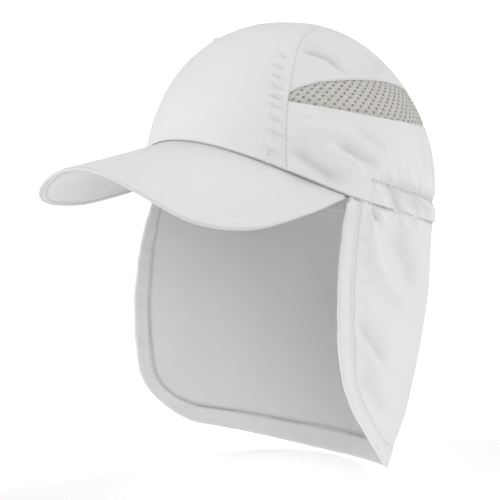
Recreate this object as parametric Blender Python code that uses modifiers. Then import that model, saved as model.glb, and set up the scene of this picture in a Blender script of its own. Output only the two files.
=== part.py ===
"""Legionnaire cap: panelled crown, mesh side vents, curved peak, gathered back casing and neck flap.

Metres, +Z up. The wearer faces -Y and the wearer's left is +X. The origin is the centre of the
head opening, whose plane leans back as the cap is worn, so the peak is up and the flap hangs plumb.
Angles round the head start at the forehead and grow towards the wearer's left, the back and the right.
"""

import math

import bmesh
import bpy
import numpy as np

MM = 0.001

# Head opening and crown
HALF_WIDTH = 80.0 * MM
FRONT_LENGTH = 100.0 * MM
BACK_LENGTH = 102.0 * MM
CROWN_HEIGHT = 104.6 * MM
TOP_SHIFT = 11.2 * MM
FRONT_RISE = 16.2 * MM
BACK_RISE = 4.5 * MM
WEAR_TILT = math.radians(15.8)

# How quickly the crown closes towards its top, at the front, the back and the sides
FRONT_TAPER = 1.24
BACK_TAPER = 1.40
SIDE_TAPER = 0.86
HEIGHT_POWER = 0.88

# Cloth and the gaps between pieces
CROWN_WALL = 1.6 * MM
VENT_WALL = 1.2 * MM
FLAP_WALL = 1.3 * MM
TURNED_WALL = 1.0 * MM
SEAM_GAP = 0.4 * MM
LAYER_GAP = 0.35 * MM
FLAP_GAP = 0.6 * MM
HEM_GAP = 0.6 * MM

# Front seams, which part at the rim and meet in an arch at the crown's top
FRONT_SEAM_ANGLE = math.radians(39.5)
FRONT_SEAM_FLARE = math.radians(4.0)
FLARE_TOP = math.radians(25.0)
ARCH_START = math.radians(40.0)
ARCH_END = math.radians(87.0)
ARCH_POWER = 2.6
ARCH_CROWN = math.radians(2.6)
ARCH_TIP = 0.04

# Mesh vents: a long leaf on each side, cut off by the front seam
VENT_FRONT = math.radians(38.0)
VENT_REAR = math.radians(150.0)
VENT_BASE = math.radians(20.5)
VENT_LIFT = math.radians(9.5)
VENT_DEPTH = math.radians(15.5)
VENT_RUN = math.radians(100.0)

# Gathered casing that holds the elastic, round the back of the rim
CASING_START = math.radians(77.0)
CASING_HEIGHT = 14.0 * MM
CASING_GROOVE = 1.5 * MM
GROOVE_WIDTH = 4.0 * MM
GATHER_COUNT = 28
GATHER_DEPTH = 0.9 * MM
GATHER_REACH = 16.0 * MM

# Soft folds of the side panels, on both sides alike
FOLD_DEPTH = 1.8 * MM
FOLD_WIDTH = 6.5 * MM
CROWN_FOLDS = (
    # from angle, from height, to angle, to height, width, depth; heights are shares of the crown's
    (44.0, 0.29, 70.0, 0.17, 1.00, -0.9),
    (55.0, 0.36, 75.0, 0.15, 1.15, 0.8),
    (68.0, 0.40, 92.0, 0.20, 0.90, -0.5),
    (96.0, 0.42, 108.0, 0.18, 1.00, 0.6),
    (118.0, 0.46, 128.0, 0.17, 1.00, -0.6),
    (46.0, 0.74, 66.0, 0.66, 0.70, -0.6),
)

# Peak: a plate between the rim and a curved front edge
PEAK_ANGLE = math.radians(67.4)
PEAK_REACH = 73.0 * MM
PEAK_INSET = 9.5 * MM
PEAK_SLOPE = 0.31
PEAK_ARCH = 47.0 * MM
PEAK_ARCH_POWER = 1.84
PEAK_ROOT_DROP = 6.0 * MM
PEAK_WALL = 2.4 * MM
UNDER_WALL = 1.0 * MM
UNDER_INSET = 3.5 * MM
PEAK_GAP = 0.4 * MM
PEAK_TIP = 0.985
PEAK_EDGE = (
    # share round the edge, share of the half-width, share of the reach ahead of the crown
    (0.0, 0.000, 1.000),
    (0.2, 0.430, 0.926),
    (0.4, 0.811, 0.656),
    (0.6, 0.972, 0.167),
    (0.8, 1.000, -0.496),
)

# Neck flap: how its sheet stands at half depth and at the hem, as shares of the crown's sizes
FLAP_ANGLE = math.radians(68.6)
FLAP_LENGTH = 155.0 * MM
FLAP_BACK_LIFT = 5.0 * MM
FLAP_CORNER_LEFT = 57.0 * MM
FLAP_CORNER_RIGHT = 32.0 * MM
HEM_WIDTH = 11.0 * MM
FLAP_BACK = (0.948, 0.564)
FLAP_LEFT = (
    # half-width at the front edge, flare towards it, place of the front edge, squareness of the back
    (1.029, 0.48, -0.508, 1.00),
    (1.056, 0.23, -0.316, 0.90),
)
FLAP_RIGHT = (
    (1.041, 0.43, -0.498, 1.06),
    (1.014, 0.26, -0.375, 0.73),
)
FLAP_FOLD_DEPTH = 2.2 * MM
FLAP_FOLDS = (
    # share round the flap, slant, width as a share of the flap, depth, from and to as shares of the length
    (0.085, 0.045, 0.030, 1.0, -0.05, 0.95),
    (0.150, 0.020, 0.028, -0.7, 0.00, 0.90),
    (0.240, -0.030, 0.035, 0.8, 0.05, 1.05),
    (0.360, 0.020, 0.040, -0.5, 0.10, 1.05),
    (0.620, -0.010, 0.045, 0.5, 0.10, 1.05),
    (0.780, 0.030, 0.035, -0.6, 0.05, 1.05),
    (0.900, -0.030, 0.030, 0.8, -0.05, 0.95),
)

# Grid fineness of each sheet
VENT_GRID = (15, 3)
REAR_COLUMNS = 4
FRONT_COLUMNS = 12
FRONT_LOW_ROWS = 3
TOP_ROWS = 8
BACK_COLUMNS_PER_GATHER = 4
CASING_GRID = (48, 1)
PEAK_GRID = (26, 7)
FLAP_GRID = (44, 10)
HEM_GRID = (60, 1)
CORNER_STEPS = 7


def smooth_step(value):
    """Rises from 0 to 1 without a corner as value goes from 0 to 1."""
    share = np.clip(value, 0.0, 1.0)
    return share * share * (3.0 - 2.0 * share)


def worn(points):
    """Leans points of the cap's own frame back about X, as the cap sits on a head."""
    tilt_cos, tilt_sin = math.cos(WEAR_TILT), math.sin(WEAR_TILT)
    x, y, z = points.T
    return np.stack([x, tilt_cos * y + tilt_sin * z, tilt_cos * z - tilt_sin * y], axis=1)


def plain_crown(angle, lift):
    """Outer face of the crown without folds; lift goes from 0 at the rim to a quarter turn at the top."""
    forward = np.clip(np.cos(angle), 0.0, None)
    backward = np.clip(-np.cos(angle), 0.0, None)
    taper = FRONT_TAPER * forward**2 + BACK_TAPER * backward**2 + SIDE_TAPER * np.sin(angle) ** 2
    closeness = np.clip(np.cos(lift), 0.0, None)
    reach = closeness**taper
    rim = FRONT_RISE * forward**2
    x = HALF_WIDTH * np.sin(angle) * reach
    y = (BACK_LENGTH * backward - FRONT_LENGTH * forward) * reach - TOP_SHIFT * np.sin(lift) ** 2
    z = rim + (CROWN_HEIGHT - rim) * np.clip(np.sin(lift), 0.0, None) ** HEIGHT_POWER
    return np.stack([x, y, z + BACK_RISE * (backward * closeness) ** 2], axis=1)


def crown_normals(angle, lift):
    """Outward unit normals of the plain crown, from small steps round and up its face."""
    step = 0.002
    lift = np.clip(lift, step, math.pi / 2 - 8 * step)
    around = plain_crown(angle + step, lift) - plain_crown(angle - step, lift)
    upward = plain_crown(angle, lift + step) - plain_crown(angle, lift - step)
    normal = np.cross(around, upward)
    return normal / np.linalg.norm(normal, axis=1)[:, None]


def fold_relief(turn, height):
    """Height of the side panels' soft folds; turn is the angle from the forehead on either side."""
    across = turn * HALF_WIDTH
    relief = np.zeros_like(turn)
    for from_angle, from_height, to_angle, to_height, width, depth in CROWN_FOLDS:
        start = np.array([math.radians(from_angle) * HALF_WIDTH, from_height * CROWN_HEIGHT])
        run = np.array([math.radians(to_angle) * HALF_WIDTH, to_height * CROWN_HEIGHT]) - start
        length = math.hypot(*run)
        along = ((across - start[0]) * run[0] + (height - start[1]) * run[1]) / length
        off = ((across - start[0]) * run[1] - (height - start[1]) * run[0]) / length
        ends = smooth_step(along / length * 4.0 + 0.5) * smooth_step((1.0 - along / length) * 4.0 + 0.5)
        relief += depth * FOLD_DEPTH * ends * np.exp(-((off / (width * FOLD_WIDTH)) ** 2))
    return relief


def gather_relief(turn, angle, height):
    """Gathers of the casing and the groove of its top stitching, which fade towards its ends."""
    inside = smooth_step((turn - CASING_START) / math.radians(12.0))
    share = (angle - CASING_START) / (2.0 * (math.pi - CASING_START))
    wave = np.cos(2.0 * math.pi * (GATHER_COUNT * share + 0.15 * np.sin(2.0 * math.pi * 3.0 * share)))
    fade = np.exp(-(((height - 0.5 * CASING_HEIGHT) / GATHER_REACH) ** 2))
    strength = inside * smooth_step((turn - CASING_START) / math.radians(40.0))
    groove = np.exp(-(((height - CASING_HEIGHT) / GROOVE_WIDTH) ** 2))
    return GATHER_DEPTH * strength * wave * fade - CASING_GROOVE * inside * groove


def crown_points(angle, lift, inset=0.0, gathered=True):
    """Crown face with its folds, set in by a distance along the normal, in the worn position."""
    angle, lift = np.broadcast_arrays(np.asarray(angle, float), np.asarray(lift, float))
    base = plain_crown(angle, lift)
    turn = math.pi - np.abs(np.mod(angle, 2.0 * math.pi) - math.pi)
    height = base[:, 2]
    relief = np.zeros_like(height)
    if gathered:
        relief = fold_relief(turn, height) + gather_relief(turn, angle, height)
    return worn(base + crown_normals(angle, lift) * (relief - inset)[:, None])


def on_dome(angle, lift):
    """Unit vector that stands for a place on the crown."""
    return np.stack([np.sin(angle) * np.cos(lift), -np.cos(angle) * np.cos(lift), np.sin(lift)], axis=1)


def off_dome(vectors):
    """Angle round the head and lift of each unit vector."""
    vectors = vectors / np.linalg.norm(vectors, axis=1)[:, None]
    angle = np.mod(np.arctan2(vectors[:, 0], -vectors[:, 1]), 2.0 * math.pi)
    return angle, np.arcsin(np.clip(vectors[:, 2], -1.0, 1.0))


def front_seam(lift):
    """Angle of the left front seam at a lift."""
    flare = FRONT_SEAM_FLARE * np.clip(1.0 - lift / FLARE_TOP, 0.0, None) ** 2
    arch = np.clip((lift - ARCH_START) / (math.pi / 2 - ARCH_START), 0.0, None) ** ARCH_POWER
    return FRONT_SEAM_ANGLE + flare + (math.pi / 2 - FRONT_SEAM_ANGLE) * arch


def vent_floor(turn):
    """Lift of the seam under the vents, which runs on round the back."""
    return VENT_BASE + VENT_LIFT * np.sin(math.pi / 2 * np.clip((turn - VENT_FRONT) / VENT_RUN, 0.0, 1.0))


def vent_top(turn):
    """Lift of the seam over the vents; behind them it is the seam under the vents."""
    share = np.clip((turn - VENT_FRONT) / (VENT_REAR - VENT_FRONT), 0.0, 1.0)
    return vent_floor(turn) + VENT_DEPTH * np.sin(math.pi * share) ** 0.5


def seam_turn(distance):
    """Angle on the crown that a distance along its face comes to."""
    return distance / (0.5 * (FRONT_LENGTH + HALF_WIDTH))


def seam_turns(share):
    """Columns of the seam over the vents, from the back at 0 to the front seam at 1, close over the vents."""
    start = FRONT_SEAM_ANGLE + seam_turn(2.0 * SEAM_GAP)
    vents = np.linspace(start, VENT_REAR - seam_turn(2.0 * SEAM_GAP), VENT_GRID[0] + 1)
    behind = np.linspace(VENT_REAR, math.pi, REAR_COLUMNS)
    turns = np.concatenate([vents, behind])[::-1]
    return np.interp(share, np.linspace(0.0, 1.0, len(turns)), turns)


def arch_lift(share):
    """Lift of the front seam's arch, from its top at 0 down to the vents' front ends at 1."""
    end = vent_top(np.array([seam_turns(1.0)]))[0] + seam_turn(0.5 * SEAM_GAP)
    return ARCH_END + (end - ARCH_END) * share**1.3


def front_rows(up):
    """Rows of the front panel, which meet the top panel's columns at the seam."""
    arch = arch_lift(np.linspace(1.0, 0.0, VENT_GRID[0] + REAR_COLUMNS + 1))
    rows = np.concatenate([np.linspace(0.0, arch[0], FRONT_LOW_ROWS + 1)[:-1], arch])
    return np.interp(up, np.linspace(0.0, 1.0, len(rows)), rows)


def front_panel(across, up):
    """Front panel between the two front seams."""
    lift = front_rows(up)
    side = front_seam(lift) - seam_turn(0.5 * SEAM_GAP) / np.cos(lift)
    middle = on_dome(np.zeros_like(lift), lift + ARCH_CROWN * up**4)
    corner = on_dome(side, lift)
    a = 2.0 * across - 1.0
    row = middle + (a**2)[:, None] * (corner * [0.0, 1.0, 1.0] - middle) + a[:, None] * corner * [1.0, 0.0, 0.0]
    angle, lift = off_dome(row)
    return crown_points(angle, lift)


def top_panel(across, up):
    """Top panel, from the seams over the vents and round the back up to the front seams' arch."""
    half = 0.5 * SEAM_GAP
    side = np.where(across < 0.5, 1.0, -1.0)
    share = np.abs(2.0 * across - 1.0)
    turn = seam_turns(share)
    low = on_dome(side * turn, vent_top(turn) + seam_turn(half))
    lift = arch_lift(share)
    arch = on_dome(side * (front_seam(lift) + seam_turn(half) / np.cos(lift)), lift)
    arch[:, 0] *= np.clip(share / ARCH_TIP, 0.0, 1.0)
    arch[:, 1] += np.clip(1.0 - share / ARCH_TIP, 0.0, 1.0) * seam_turn(half)
    angle_between = np.arccos(np.clip(np.sum(low * arch, axis=1), -1.0, 1.0))
    flat = angle_between < 1e-4
    angle_between = np.where(flat, 1.0, angle_between)
    low_part = np.where(flat, 1.0 - up, np.sin((1.0 - up) * angle_between) / np.sin(angle_between))
    arch_part = np.where(flat, up, np.sin(up * angle_between) / np.sin(angle_between))
    angle, lift = off_dome(low_part[:, None] * low + arch_part[:, None] * arch)
    return crown_points(angle, lift)


def vent_panel(across, up):
    """Left vent's mesh between the seams over and under it."""
    half = seam_turn(0.5 * SEAM_GAP)
    behind = REAR_COLUMNS / (VENT_GRID[0] + REAR_COLUMNS)
    turn = seam_turns(1.0 - (1.0 - behind) * across)
    floor, top = vent_floor(turn) + half, vent_top(turn) - half
    return crown_points(turn, floor + (top - floor) * up)


def back_rows(up):
    """Spaces the back panel's rows so that some follow the casing and its groove."""
    casing = math.asin((CASING_HEIGHT / CROWN_HEIGHT) ** (1.0 / HEIGHT_POWER)) / (VENT_BASE + VENT_LIFT)
    rows = np.array([0.0, 0.4 * casing, 0.75 * casing, casing, 1.3 * casing, 2.0 * casing, 0.68, 1.0])
    return np.interp(up, np.linspace(0.0, 1.0, len(rows)), rows)


def back_panel(across, up):
    """Side and back panel, from the rim up to the seam under the vents."""
    share = back_rows(up)
    seam = front_seam(share * VENT_BASE) + seam_turn(0.5 * SEAM_GAP)
    angle = seam + (2.0 * math.pi - 2.0 * seam) * across
    turn = math.pi - np.abs(angle - math.pi)
    return crown_points(angle, share * (vent_floor(turn) - seam_turn(0.5 * SEAM_GAP)))


def casing_strip(across, up):
    """Inner wall of the casing, clear of the gathers that stand in from the back panel."""
    angle = CASING_START + (2.0 * math.pi - 2.0 * CASING_START) * across
    top = math.asin((CASING_HEIGHT / CROWN_HEIGHT) ** (1.0 / HEIGHT_POWER))
    inset = CROWN_WALL + GATHER_DEPTH + CASING_GROOVE + LAYER_GAP
    low = 0.12 * top
    return crown_points(angle, low + (top - low) * up, inset, gathered=False)


def peak_edge(share):
    """Front edge of the peak in the cap's frame; share goes from -1 at its right end to 1 at its left."""
    table = np.array(PEAK_EDGE)
    root = plain_crown(np.array([PEAK_ANGLE]), np.array([0.0]))[0]
    half_width = HALF_WIDTH - PEAK_INSET
    knots = np.append(table[:, 0], 1.0)
    widths = np.append(table[:, 1] * half_width, root[0])
    lengths = np.append(-FRONT_LENGTH - table[:, 2] * PEAK_REACH, root[1])
    x = through_points(knots, widths, share, odd=True)
    y = through_points(knots, lengths, share, odd=False)
    z = edge_height(x, y)
    end_lift = root[2] - edge_height(root[0], root[1])
    return np.stack([x, y, z + end_lift * np.clip((np.abs(share) - 0.6) / 0.4, 0.0, 1.0) ** 2], axis=1)


def edge_height(x, y):
    """Height of the peak's arched edge over a place in plan."""
    sag = PEAK_ARCH * np.abs(x / HALF_WIDTH) ** PEAK_ARCH_POWER
    return FRONT_RISE - PEAK_ROOT_DROP + PEAK_SLOPE * (y + FRONT_LENGTH) - sag


def through_points(knots, values, share, odd):
    """Smooth curve through values at knots from 0 to 1, mirrored or turned over for negative shares."""
    sign = -1.0 if odd else 1.0
    all_knots = np.concatenate([-knots[:0:-1], knots])
    all_values = np.concatenate([sign * values[:0:-1], values])
    slopes = np.gradient(all_values, all_knots)
    place = np.clip(np.searchsorted(all_knots, share) - 1, 0, len(all_knots) - 2)
    gap = all_knots[place + 1] - all_knots[place]
    t = (share - all_knots[place]) / gap
    start, end = all_values[place], all_values[place + 1]
    start_slope, end_slope = slopes[place] * gap, slopes[place + 1] * gap
    return (
        (2 * t**3 - 3 * t**2 + 1) * start
        + (t**3 - 2 * t**2 + t) * start_slope
        + (3 * t**2 - 2 * t**3) * end
        + (t**3 - t**2) * end_slope
    )


def peak_face(share, up, edge_inset=0.0):
    """Plain top face of the peak, from its front edge back to under the crown's wall."""
    edge = peak_edge(share)
    root_angle = share * PEAK_ANGLE
    level = np.zeros_like(share)
    inward = crown_normals(root_angle, level) * CROWN_WALL
    root = plain_crown(root_angle, level) - inward - np.array([0.0, 0.0, PEAK_GAP])
    reach = np.linalg.norm(edge - root, axis=1)
    edge = edge + (root - edge) * np.clip(edge_inset / reach, 0.0, 0.4)[:, None]
    return edge + (root - edge) * up[:, None]


def peak_plate(across, up, edge_inset=0.0, inset=0.0):
    """Peak's top face, or a face set in under it along its normal."""
    share = (2.0 * across - 1.0) * PEAK_TIP
    step = 0.004
    around = peak_face(share + step, up, edge_inset) - peak_face(share - step, up, edge_inset)
    back = peak_face(share, up + step, edge_inset) - peak_face(share, up - step, edge_inset)
    normal = np.cross(around, back)
    normal /= np.linalg.norm(normal, axis=1)[:, None]
    return worn(peak_face(share, up, edge_inset) - normal * inset)


def flap_seam(share):
    """Top edge of the flap at shares from its left front edge round the back to its right one."""
    angle = FLAP_ANGLE + (2.0 * math.pi - 2.0 * FLAP_ANGLE) * share
    rim = worn(plain_crown(angle, np.zeros_like(angle)))
    return rim - np.array([0.0, 0.0, FLAP_GAP])


def flap_level(share, level):
    """Plan of the flap's sheet at half depth (level 0) or at the hem (level 1)."""
    back = FLAP_BACK[level]
    side = np.where(share <= 0.5, 1.0, -1.0)
    out = np.abs(1.0 - 2.0 * share)
    width, flare, front, square = (
        np.where(share <= 0.5, left, right) for left, right in zip(FLAP_LEFT[level], FLAP_RIGHT[level])
    )
    x = side * HALF_WIDTH * width * ((1.0 + flare) * out - flare * out**3)
    y = BACK_LENGTH * (back + (front - back) * (square * out**2 + (1.0 - square) * out**4))
    return x, y


def flap_drop(share):
    """Length of the flap at a share round it, a little less at the back."""
    return FLAP_LENGTH - FLAP_BACK_LIFT * smooth_step(1.0 - np.abs(1.0 - 2.0 * share))


def flap_sheet(share, depth):
    """Plain flap face; depth is a share of the flap's length below its seam."""
    seam = flap_seam(share)
    top_part = (1.0 - depth) * (1.0 - 2.0 * depth)
    middle_part = 4.0 * depth * (1.0 - depth)
    low_part = depth * (2.0 * depth - 1.0)
    middle_x, middle_y = flap_level(share, 0)
    low_x, low_y = flap_level(share, 1)
    x = seam[:, 0] * top_part + middle_x * middle_part + low_x * low_part
    y = seam[:, 1] * top_part + middle_y * middle_part + low_y * low_part
    return np.stack([x, y, seam[:, 2] - depth * flap_drop(share)], axis=1)


def flap_points(share, depth, inset=0.0):
    """Flap face with its folds, set in by a distance along its normal."""
    step = 0.002
    inner = np.clip(share, step, 1.0 - step)
    around = flap_sheet(inner + step, depth) - flap_sheet(inner - step, depth)
    downward = flap_sheet(share, depth + step) - flap_sheet(share, depth - step)
    normal = np.cross(downward, around)
    normal /= np.linalg.norm(normal, axis=1)[:, None]
    relief = np.zeros_like(share)
    for place, slant, width, height, begin, end in FLAP_FOLDS:
        off = (share - place - slant * depth) / width
        ends = smooth_step((depth - begin) * 4.0) * smooth_step((end - depth) * 3.0 + 0.4)
        relief += height * FLAP_FOLD_DEPTH * ends * np.exp(-(off**2))
    width = flap_width()
    to_edge = np.minimum(share, 1.0 - share) * width
    to_hem = (flap_end(np.clip(share, 0.0, 1.0), width) - depth) * FLAP_LENGTH
    relief *= smooth_step(depth * 6.0) * smooth_step((np.minimum(to_edge, to_hem) - HEM_WIDTH) / (2.0 * HEM_WIDTH))
    return flap_sheet(share, depth) + normal * (relief - inset)[:, None]


def flap_width():
    """Length of the flap's seam round the back of the rim."""
    seam = flap_seam(np.linspace(0.0, 1.0, 241))
    return float(np.sum(np.linalg.norm(np.diff(seam, axis=0), axis=1)))


def flap_end(across, width):
    """Depth of the hem at a share round the flap, whose lower corners are round."""
    end = np.full_like(across, FLAP_LENGTH)
    for radius, from_edge in ((FLAP_CORNER_LEFT, across * width), (FLAP_CORNER_RIGHT, (1.0 - across) * width)):
        near = np.clip(radius - from_edge, 0.0, radius)
        end -= radius - np.sqrt(radius**2 - near**2)
    return end / FLAP_LENGTH


def flap_columns(across, width):
    """Moves evenly spaced columns closer together at the flap's round corners."""
    left, right = FLAP_CORNER_LEFT / width, FLAP_CORNER_RIGHT / width
    steps = np.linspace(0.0, 1.0, CORNER_STEPS + 1) ** 1.3
    inner = FLAP_GRID[0] - 2 * CORNER_STEPS
    places = np.concatenate([
        left * steps,
        np.linspace(left, 1.0 - right, inner + 1)[1:-1],
        (1.0 - right * steps)[::-1],
    ])
    return np.interp(across, np.linspace(0.0, 1.0, len(places)), places)


def flap_panel(across, up):
    """Neck flap from its hem up to its seam."""
    width = flap_width()
    share = flap_columns(across, width)
    return flap_points(share, (1.0 - up) * flap_end(share, width))


def hem_path(width):
    """Flap's free edge in flat measure: across from the left front edge, and down from the seam."""
    turn = np.linspace(0.0, math.pi / 2, 9)[1:-1]
    left, right = FLAP_CORNER_LEFT, FLAP_CORNER_RIGHT
    down_left = [(0.0, d) for d in np.linspace(0.03 * FLAP_LENGTH, FLAP_LENGTH - left, 6)]
    corner_left = [(left * (1 - math.cos(a)), FLAP_LENGTH - left * (1 - math.sin(a))) for a in turn]
    bottom = [(a, FLAP_LENGTH) for a in np.linspace(left, width - right, 30)]
    corner_right = [(width - right * (1 - math.cos(a)), FLAP_LENGTH - right * (1 - math.sin(a))) for a in turn[::-1]]
    up_right = [(width, d) for d in np.linspace(FLAP_LENGTH - right, 0.03 * FLAP_LENGTH, 6)]
    return np.array(down_left + corner_left + bottom + corner_right + up_right)


def hem_strip(across, up):
    """Cloth turned in along the flap's front edges and hem, on the side of the neck."""
    width = flap_width()
    path = hem_path(width)
    run = np.concatenate([[0.0], np.cumsum(np.linalg.norm(np.diff(path, axis=0), axis=1))])
    place = across * run[-1]
    here = np.stack([np.interp(place, run, path[:, i]) for i in (0, 1)], axis=1)
    step = 2.0 * MM
    ahead = np.stack([np.interp(place + step, run, path[:, i]) for i in (0, 1)], axis=1)
    behind = np.stack([np.interp(place - step, run, path[:, i]) for i in (0, 1)], axis=1)
    along = ahead - behind
    along /= np.linalg.norm(along, axis=1)[:, None]
    inward = np.stack([along[:, 1], -along[:, 0]], axis=1)
    flat = here + inward * (HEM_GAP + up * HEM_WIDTH)[:, None]
    return flap_points(flat[:, 0] / width, flat[:, 1] / FLAP_LENGTH, FLAP_WALL + HEM_GAP)


def cloth(name, colour, roughness):
    """Plain cloth material."""
    material = bpy.data.materials.new(name)
    material.use_nodes = True
    shader = material.node_tree.nodes["Principled BSDF"]
    shader.inputs["Base Color"].default_value = (*colour, 1.0)
    shader.inputs["Roughness"].default_value = roughness
    shader.inputs["Metallic"].default_value = 0.0
    return material


def sheet(name, shape, grid, wall, material, collection):
    """Bends a flat grid to a shape, closes its corners and gives it a wall on its inner side."""
    columns, rows = grid
    mesh = bpy.data.meshes.new(name)
    builder = bmesh.new()
    bmesh.ops.create_grid(builder, x_segments=columns, y_segments=rows, size=1.0)
    flat = np.array([vertex.co[:2] for vertex in builder.verts])
    for vertex, place in zip(builder.verts, shape(0.5 + 0.5 * flat[:, 0], 0.5 + 0.5 * flat[:, 1])):
        vertex.co = place
    bmesh.ops.remove_doubles(builder, verts=builder.verts, dist=0.01 * MM)
    builder.to_mesh(mesh)
    builder.free()
    mesh.materials.append(material)
    mesh.shade_smooth()
    piece = bpy.data.objects.new(name, mesh)
    collection.objects.link(piece)
    thickness = piece.modifiers.new("Wall", "SOLIDIFY")
    thickness.thickness = wall
    thickness.offset = -1.0
    return piece


def mirrored(name, piece, material, collection):
    """The other side's copy of a piece, mirrored across the cap's middle."""
    mesh = piece.data.copy()
    builder = bmesh.new()
    builder.from_mesh(mesh)
    for vertex in builder.verts:
        vertex.co.x = -vertex.co.x
    bmesh.ops.reverse_faces(builder, faces=builder.faces)
    builder.to_mesh(mesh)
    builder.free()
    mesh.materials.clear()
    mesh.materials.append(material)
    copy = bpy.data.objects.new(name, mesh)
    collection.objects.link(copy)
    thickness = copy.modifiers.new("Wall", "SOLIDIFY")
    thickness.thickness = piece.modifiers["Wall"].thickness
    thickness.offset = -1.0
    return copy


def build():
    """Builds every piece of the cap."""
    for old in list(bpy.data.objects):
        bpy.data.objects.remove(old)
    cap = bpy.data.collections.new("legionnaire_cap")
    cutters = bpy.data.collections.new("cutters")
    for collection in (cap, cutters):
        bpy.context.scene.collection.children.link(collection)

    back_grid = (GATHER_COUNT * BACK_COLUMNS_PER_GATHER + 10, 7)
    white = (0.79, 0.79, 0.77)
    seam_columns = VENT_GRID[0] + REAR_COLUMNS
    front_grid = (FRONT_COLUMNS, FRONT_LOW_ROWS + seam_columns)
    sheet("crown_front", front_panel, front_grid, CROWN_WALL, cloth("front_cloth", white, 0.85), cap)
    sheet("crown_top", top_panel, (2 * seam_columns, TOP_ROWS), CROWN_WALL, cloth("top_cloth", white, 0.85), cap)
    sheet("crown_back", back_panel, back_grid, CROWN_WALL, cloth("back_cloth", white, 0.85), cap)
    left = sheet("vent_mesh_left", vent_panel, VENT_GRID, VENT_WALL, cloth("mesh_left", (0.58, 0.57, 0.54), 0.7), cap)
    mirrored("vent_mesh_right", left, cloth("mesh_right", (0.58, 0.57, 0.54), 0.7), cap)
    sheet("back_casing", casing_strip, CASING_GRID, TURNED_WALL, cloth("casing_cloth", white, 0.85), cap)
    sheet("peak_top", peak_plate, PEAK_GRID, PEAK_WALL, cloth("peak_cloth", white, 0.8), cap)

    def under_plate(across, up):
        """Lower cover of the peak, inside the turned edge of the upper one."""
        return peak_plate(across, up, UNDER_INSET, PEAK_WALL + LAYER_GAP)

    sheet("peak_under", under_plate, PEAK_GRID, UNDER_WALL, cloth("peak_under_cloth", white, 0.8), cap)
    sheet("neck_flap", flap_panel, FLAP_GRID, FLAP_WALL, cloth("flap_cloth", white, 0.85), cap)
    sheet("flap_hem", hem_strip, HEM_GRID, TURNED_WALL, cloth("hem_cloth", white, 0.85), cap)


build()
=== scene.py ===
"""Looks of a white legionnaire cap: panelled crown, mesh vents, stitched peak, gathered back and neck flap.

Metres, +Z up. The wearer faces -Y and the wearer's left is +X. The crown and the peak are shaped in the
cap's own frame, whose XY plane is the head opening, and then lean back as the cap is worn.
"""

import logging
import math
from dataclasses import dataclass, field
from enum import Enum

import bmesh
import bpy
import numpy as np
from mathutils import Matrix, Vector


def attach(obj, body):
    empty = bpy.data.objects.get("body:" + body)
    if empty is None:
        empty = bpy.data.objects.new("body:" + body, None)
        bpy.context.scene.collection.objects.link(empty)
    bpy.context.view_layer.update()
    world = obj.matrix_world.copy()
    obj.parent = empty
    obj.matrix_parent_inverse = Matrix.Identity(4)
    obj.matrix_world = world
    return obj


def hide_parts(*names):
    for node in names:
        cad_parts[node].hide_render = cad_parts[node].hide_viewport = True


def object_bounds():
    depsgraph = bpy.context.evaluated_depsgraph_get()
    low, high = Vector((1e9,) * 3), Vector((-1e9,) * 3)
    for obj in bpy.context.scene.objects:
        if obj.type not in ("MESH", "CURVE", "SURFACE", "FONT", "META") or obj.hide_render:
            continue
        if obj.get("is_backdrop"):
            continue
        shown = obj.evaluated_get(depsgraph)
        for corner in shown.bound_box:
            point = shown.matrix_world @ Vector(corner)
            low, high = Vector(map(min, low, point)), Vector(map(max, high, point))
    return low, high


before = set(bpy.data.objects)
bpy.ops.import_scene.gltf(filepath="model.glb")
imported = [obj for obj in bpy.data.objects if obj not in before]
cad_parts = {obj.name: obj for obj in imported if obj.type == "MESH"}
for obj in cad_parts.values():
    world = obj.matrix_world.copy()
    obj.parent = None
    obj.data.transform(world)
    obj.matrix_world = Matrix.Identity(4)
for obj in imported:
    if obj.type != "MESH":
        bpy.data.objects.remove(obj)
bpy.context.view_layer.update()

Array = np.ndarray
MM = 0.001
QUARTER = math.pi / 2
TURN = 2.0 * math.pi
STITCH_PITCH = 2.9 * MM
EDGE_STEPS = (0.3 * MM, 0.7 * MM, 1.2 * MM)
CHUNK = 8192
log = logging.getLogger("cap")


class Slot(Enum):
    """Material slots of the record."""

    CROWN = "crown_cloth"
    MESH = "vent_mesh"
    PEAK = "peak_cloth"
    FLAP = "flap_cloth"


class Hold(Enum):
    """How a sheet of cloth is held."""

    STRETCHED = "stretched"
    GATHERED = "gathered"
    HUNG = "hung"
    FOLDED = "folded"


def smooth_step(value: Array) -> Array:
    """Rises from 0 to 1 without a corner as value goes from 0 to 1."""
    share = np.clip(value, 0.0, 1.0)
    return share * share * (3.0 - 2.0 * share)


def bump(value: Array) -> Array:
    """Round hump of height 1 at 0 that is gone at about 2."""
    return np.exp(-(value**2))


def spaced(length: float, step: float, close: tuple[float, ...] = ()) -> Array:
    """Places along a length as shares, with more of them near both ends.

    Args:
        length: the real length.
        step: usual distance between places.
        close: distances from either end that also get a place, in rising order.

    Returns:
        Rising shares from 0 to 1.
    """
    near = np.array((0.0, *close))
    inner = length - 2.0 * near[-1]
    middle = near[-1] + inner * np.linspace(0.0, 1.0, max(2, round(inner / step) + 1))
    return np.concatenate([near[:-1], middle, (length - near[:-1])[::-1]]) / length


def ripple(run: Array, spacing: float, seed: int) -> Array:
    """Smooth random ups and downs along a line.

    Args:
        run: places along the line.
        spacing: usual distance between an up and a down.
        seed: picks the pattern.

    Returns:
        Values from -1 to 1.
    """
    heights = np.random.default_rng(seed).uniform(-1.0, 1.0, 1024)
    place = run / spacing
    cell = np.floor(place).astype(int)
    share = smooth_step(place - cell)
    return heights[cell % 1024] * (1.0 - share) + heights[(cell + 1) % 1024] * share


def unit(vectors: Array) -> Array:
    """Vectors at length 1."""
    return vectors / np.maximum(np.linalg.norm(vectors, axis=-1, keepdims=True), 1e-12)


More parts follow.
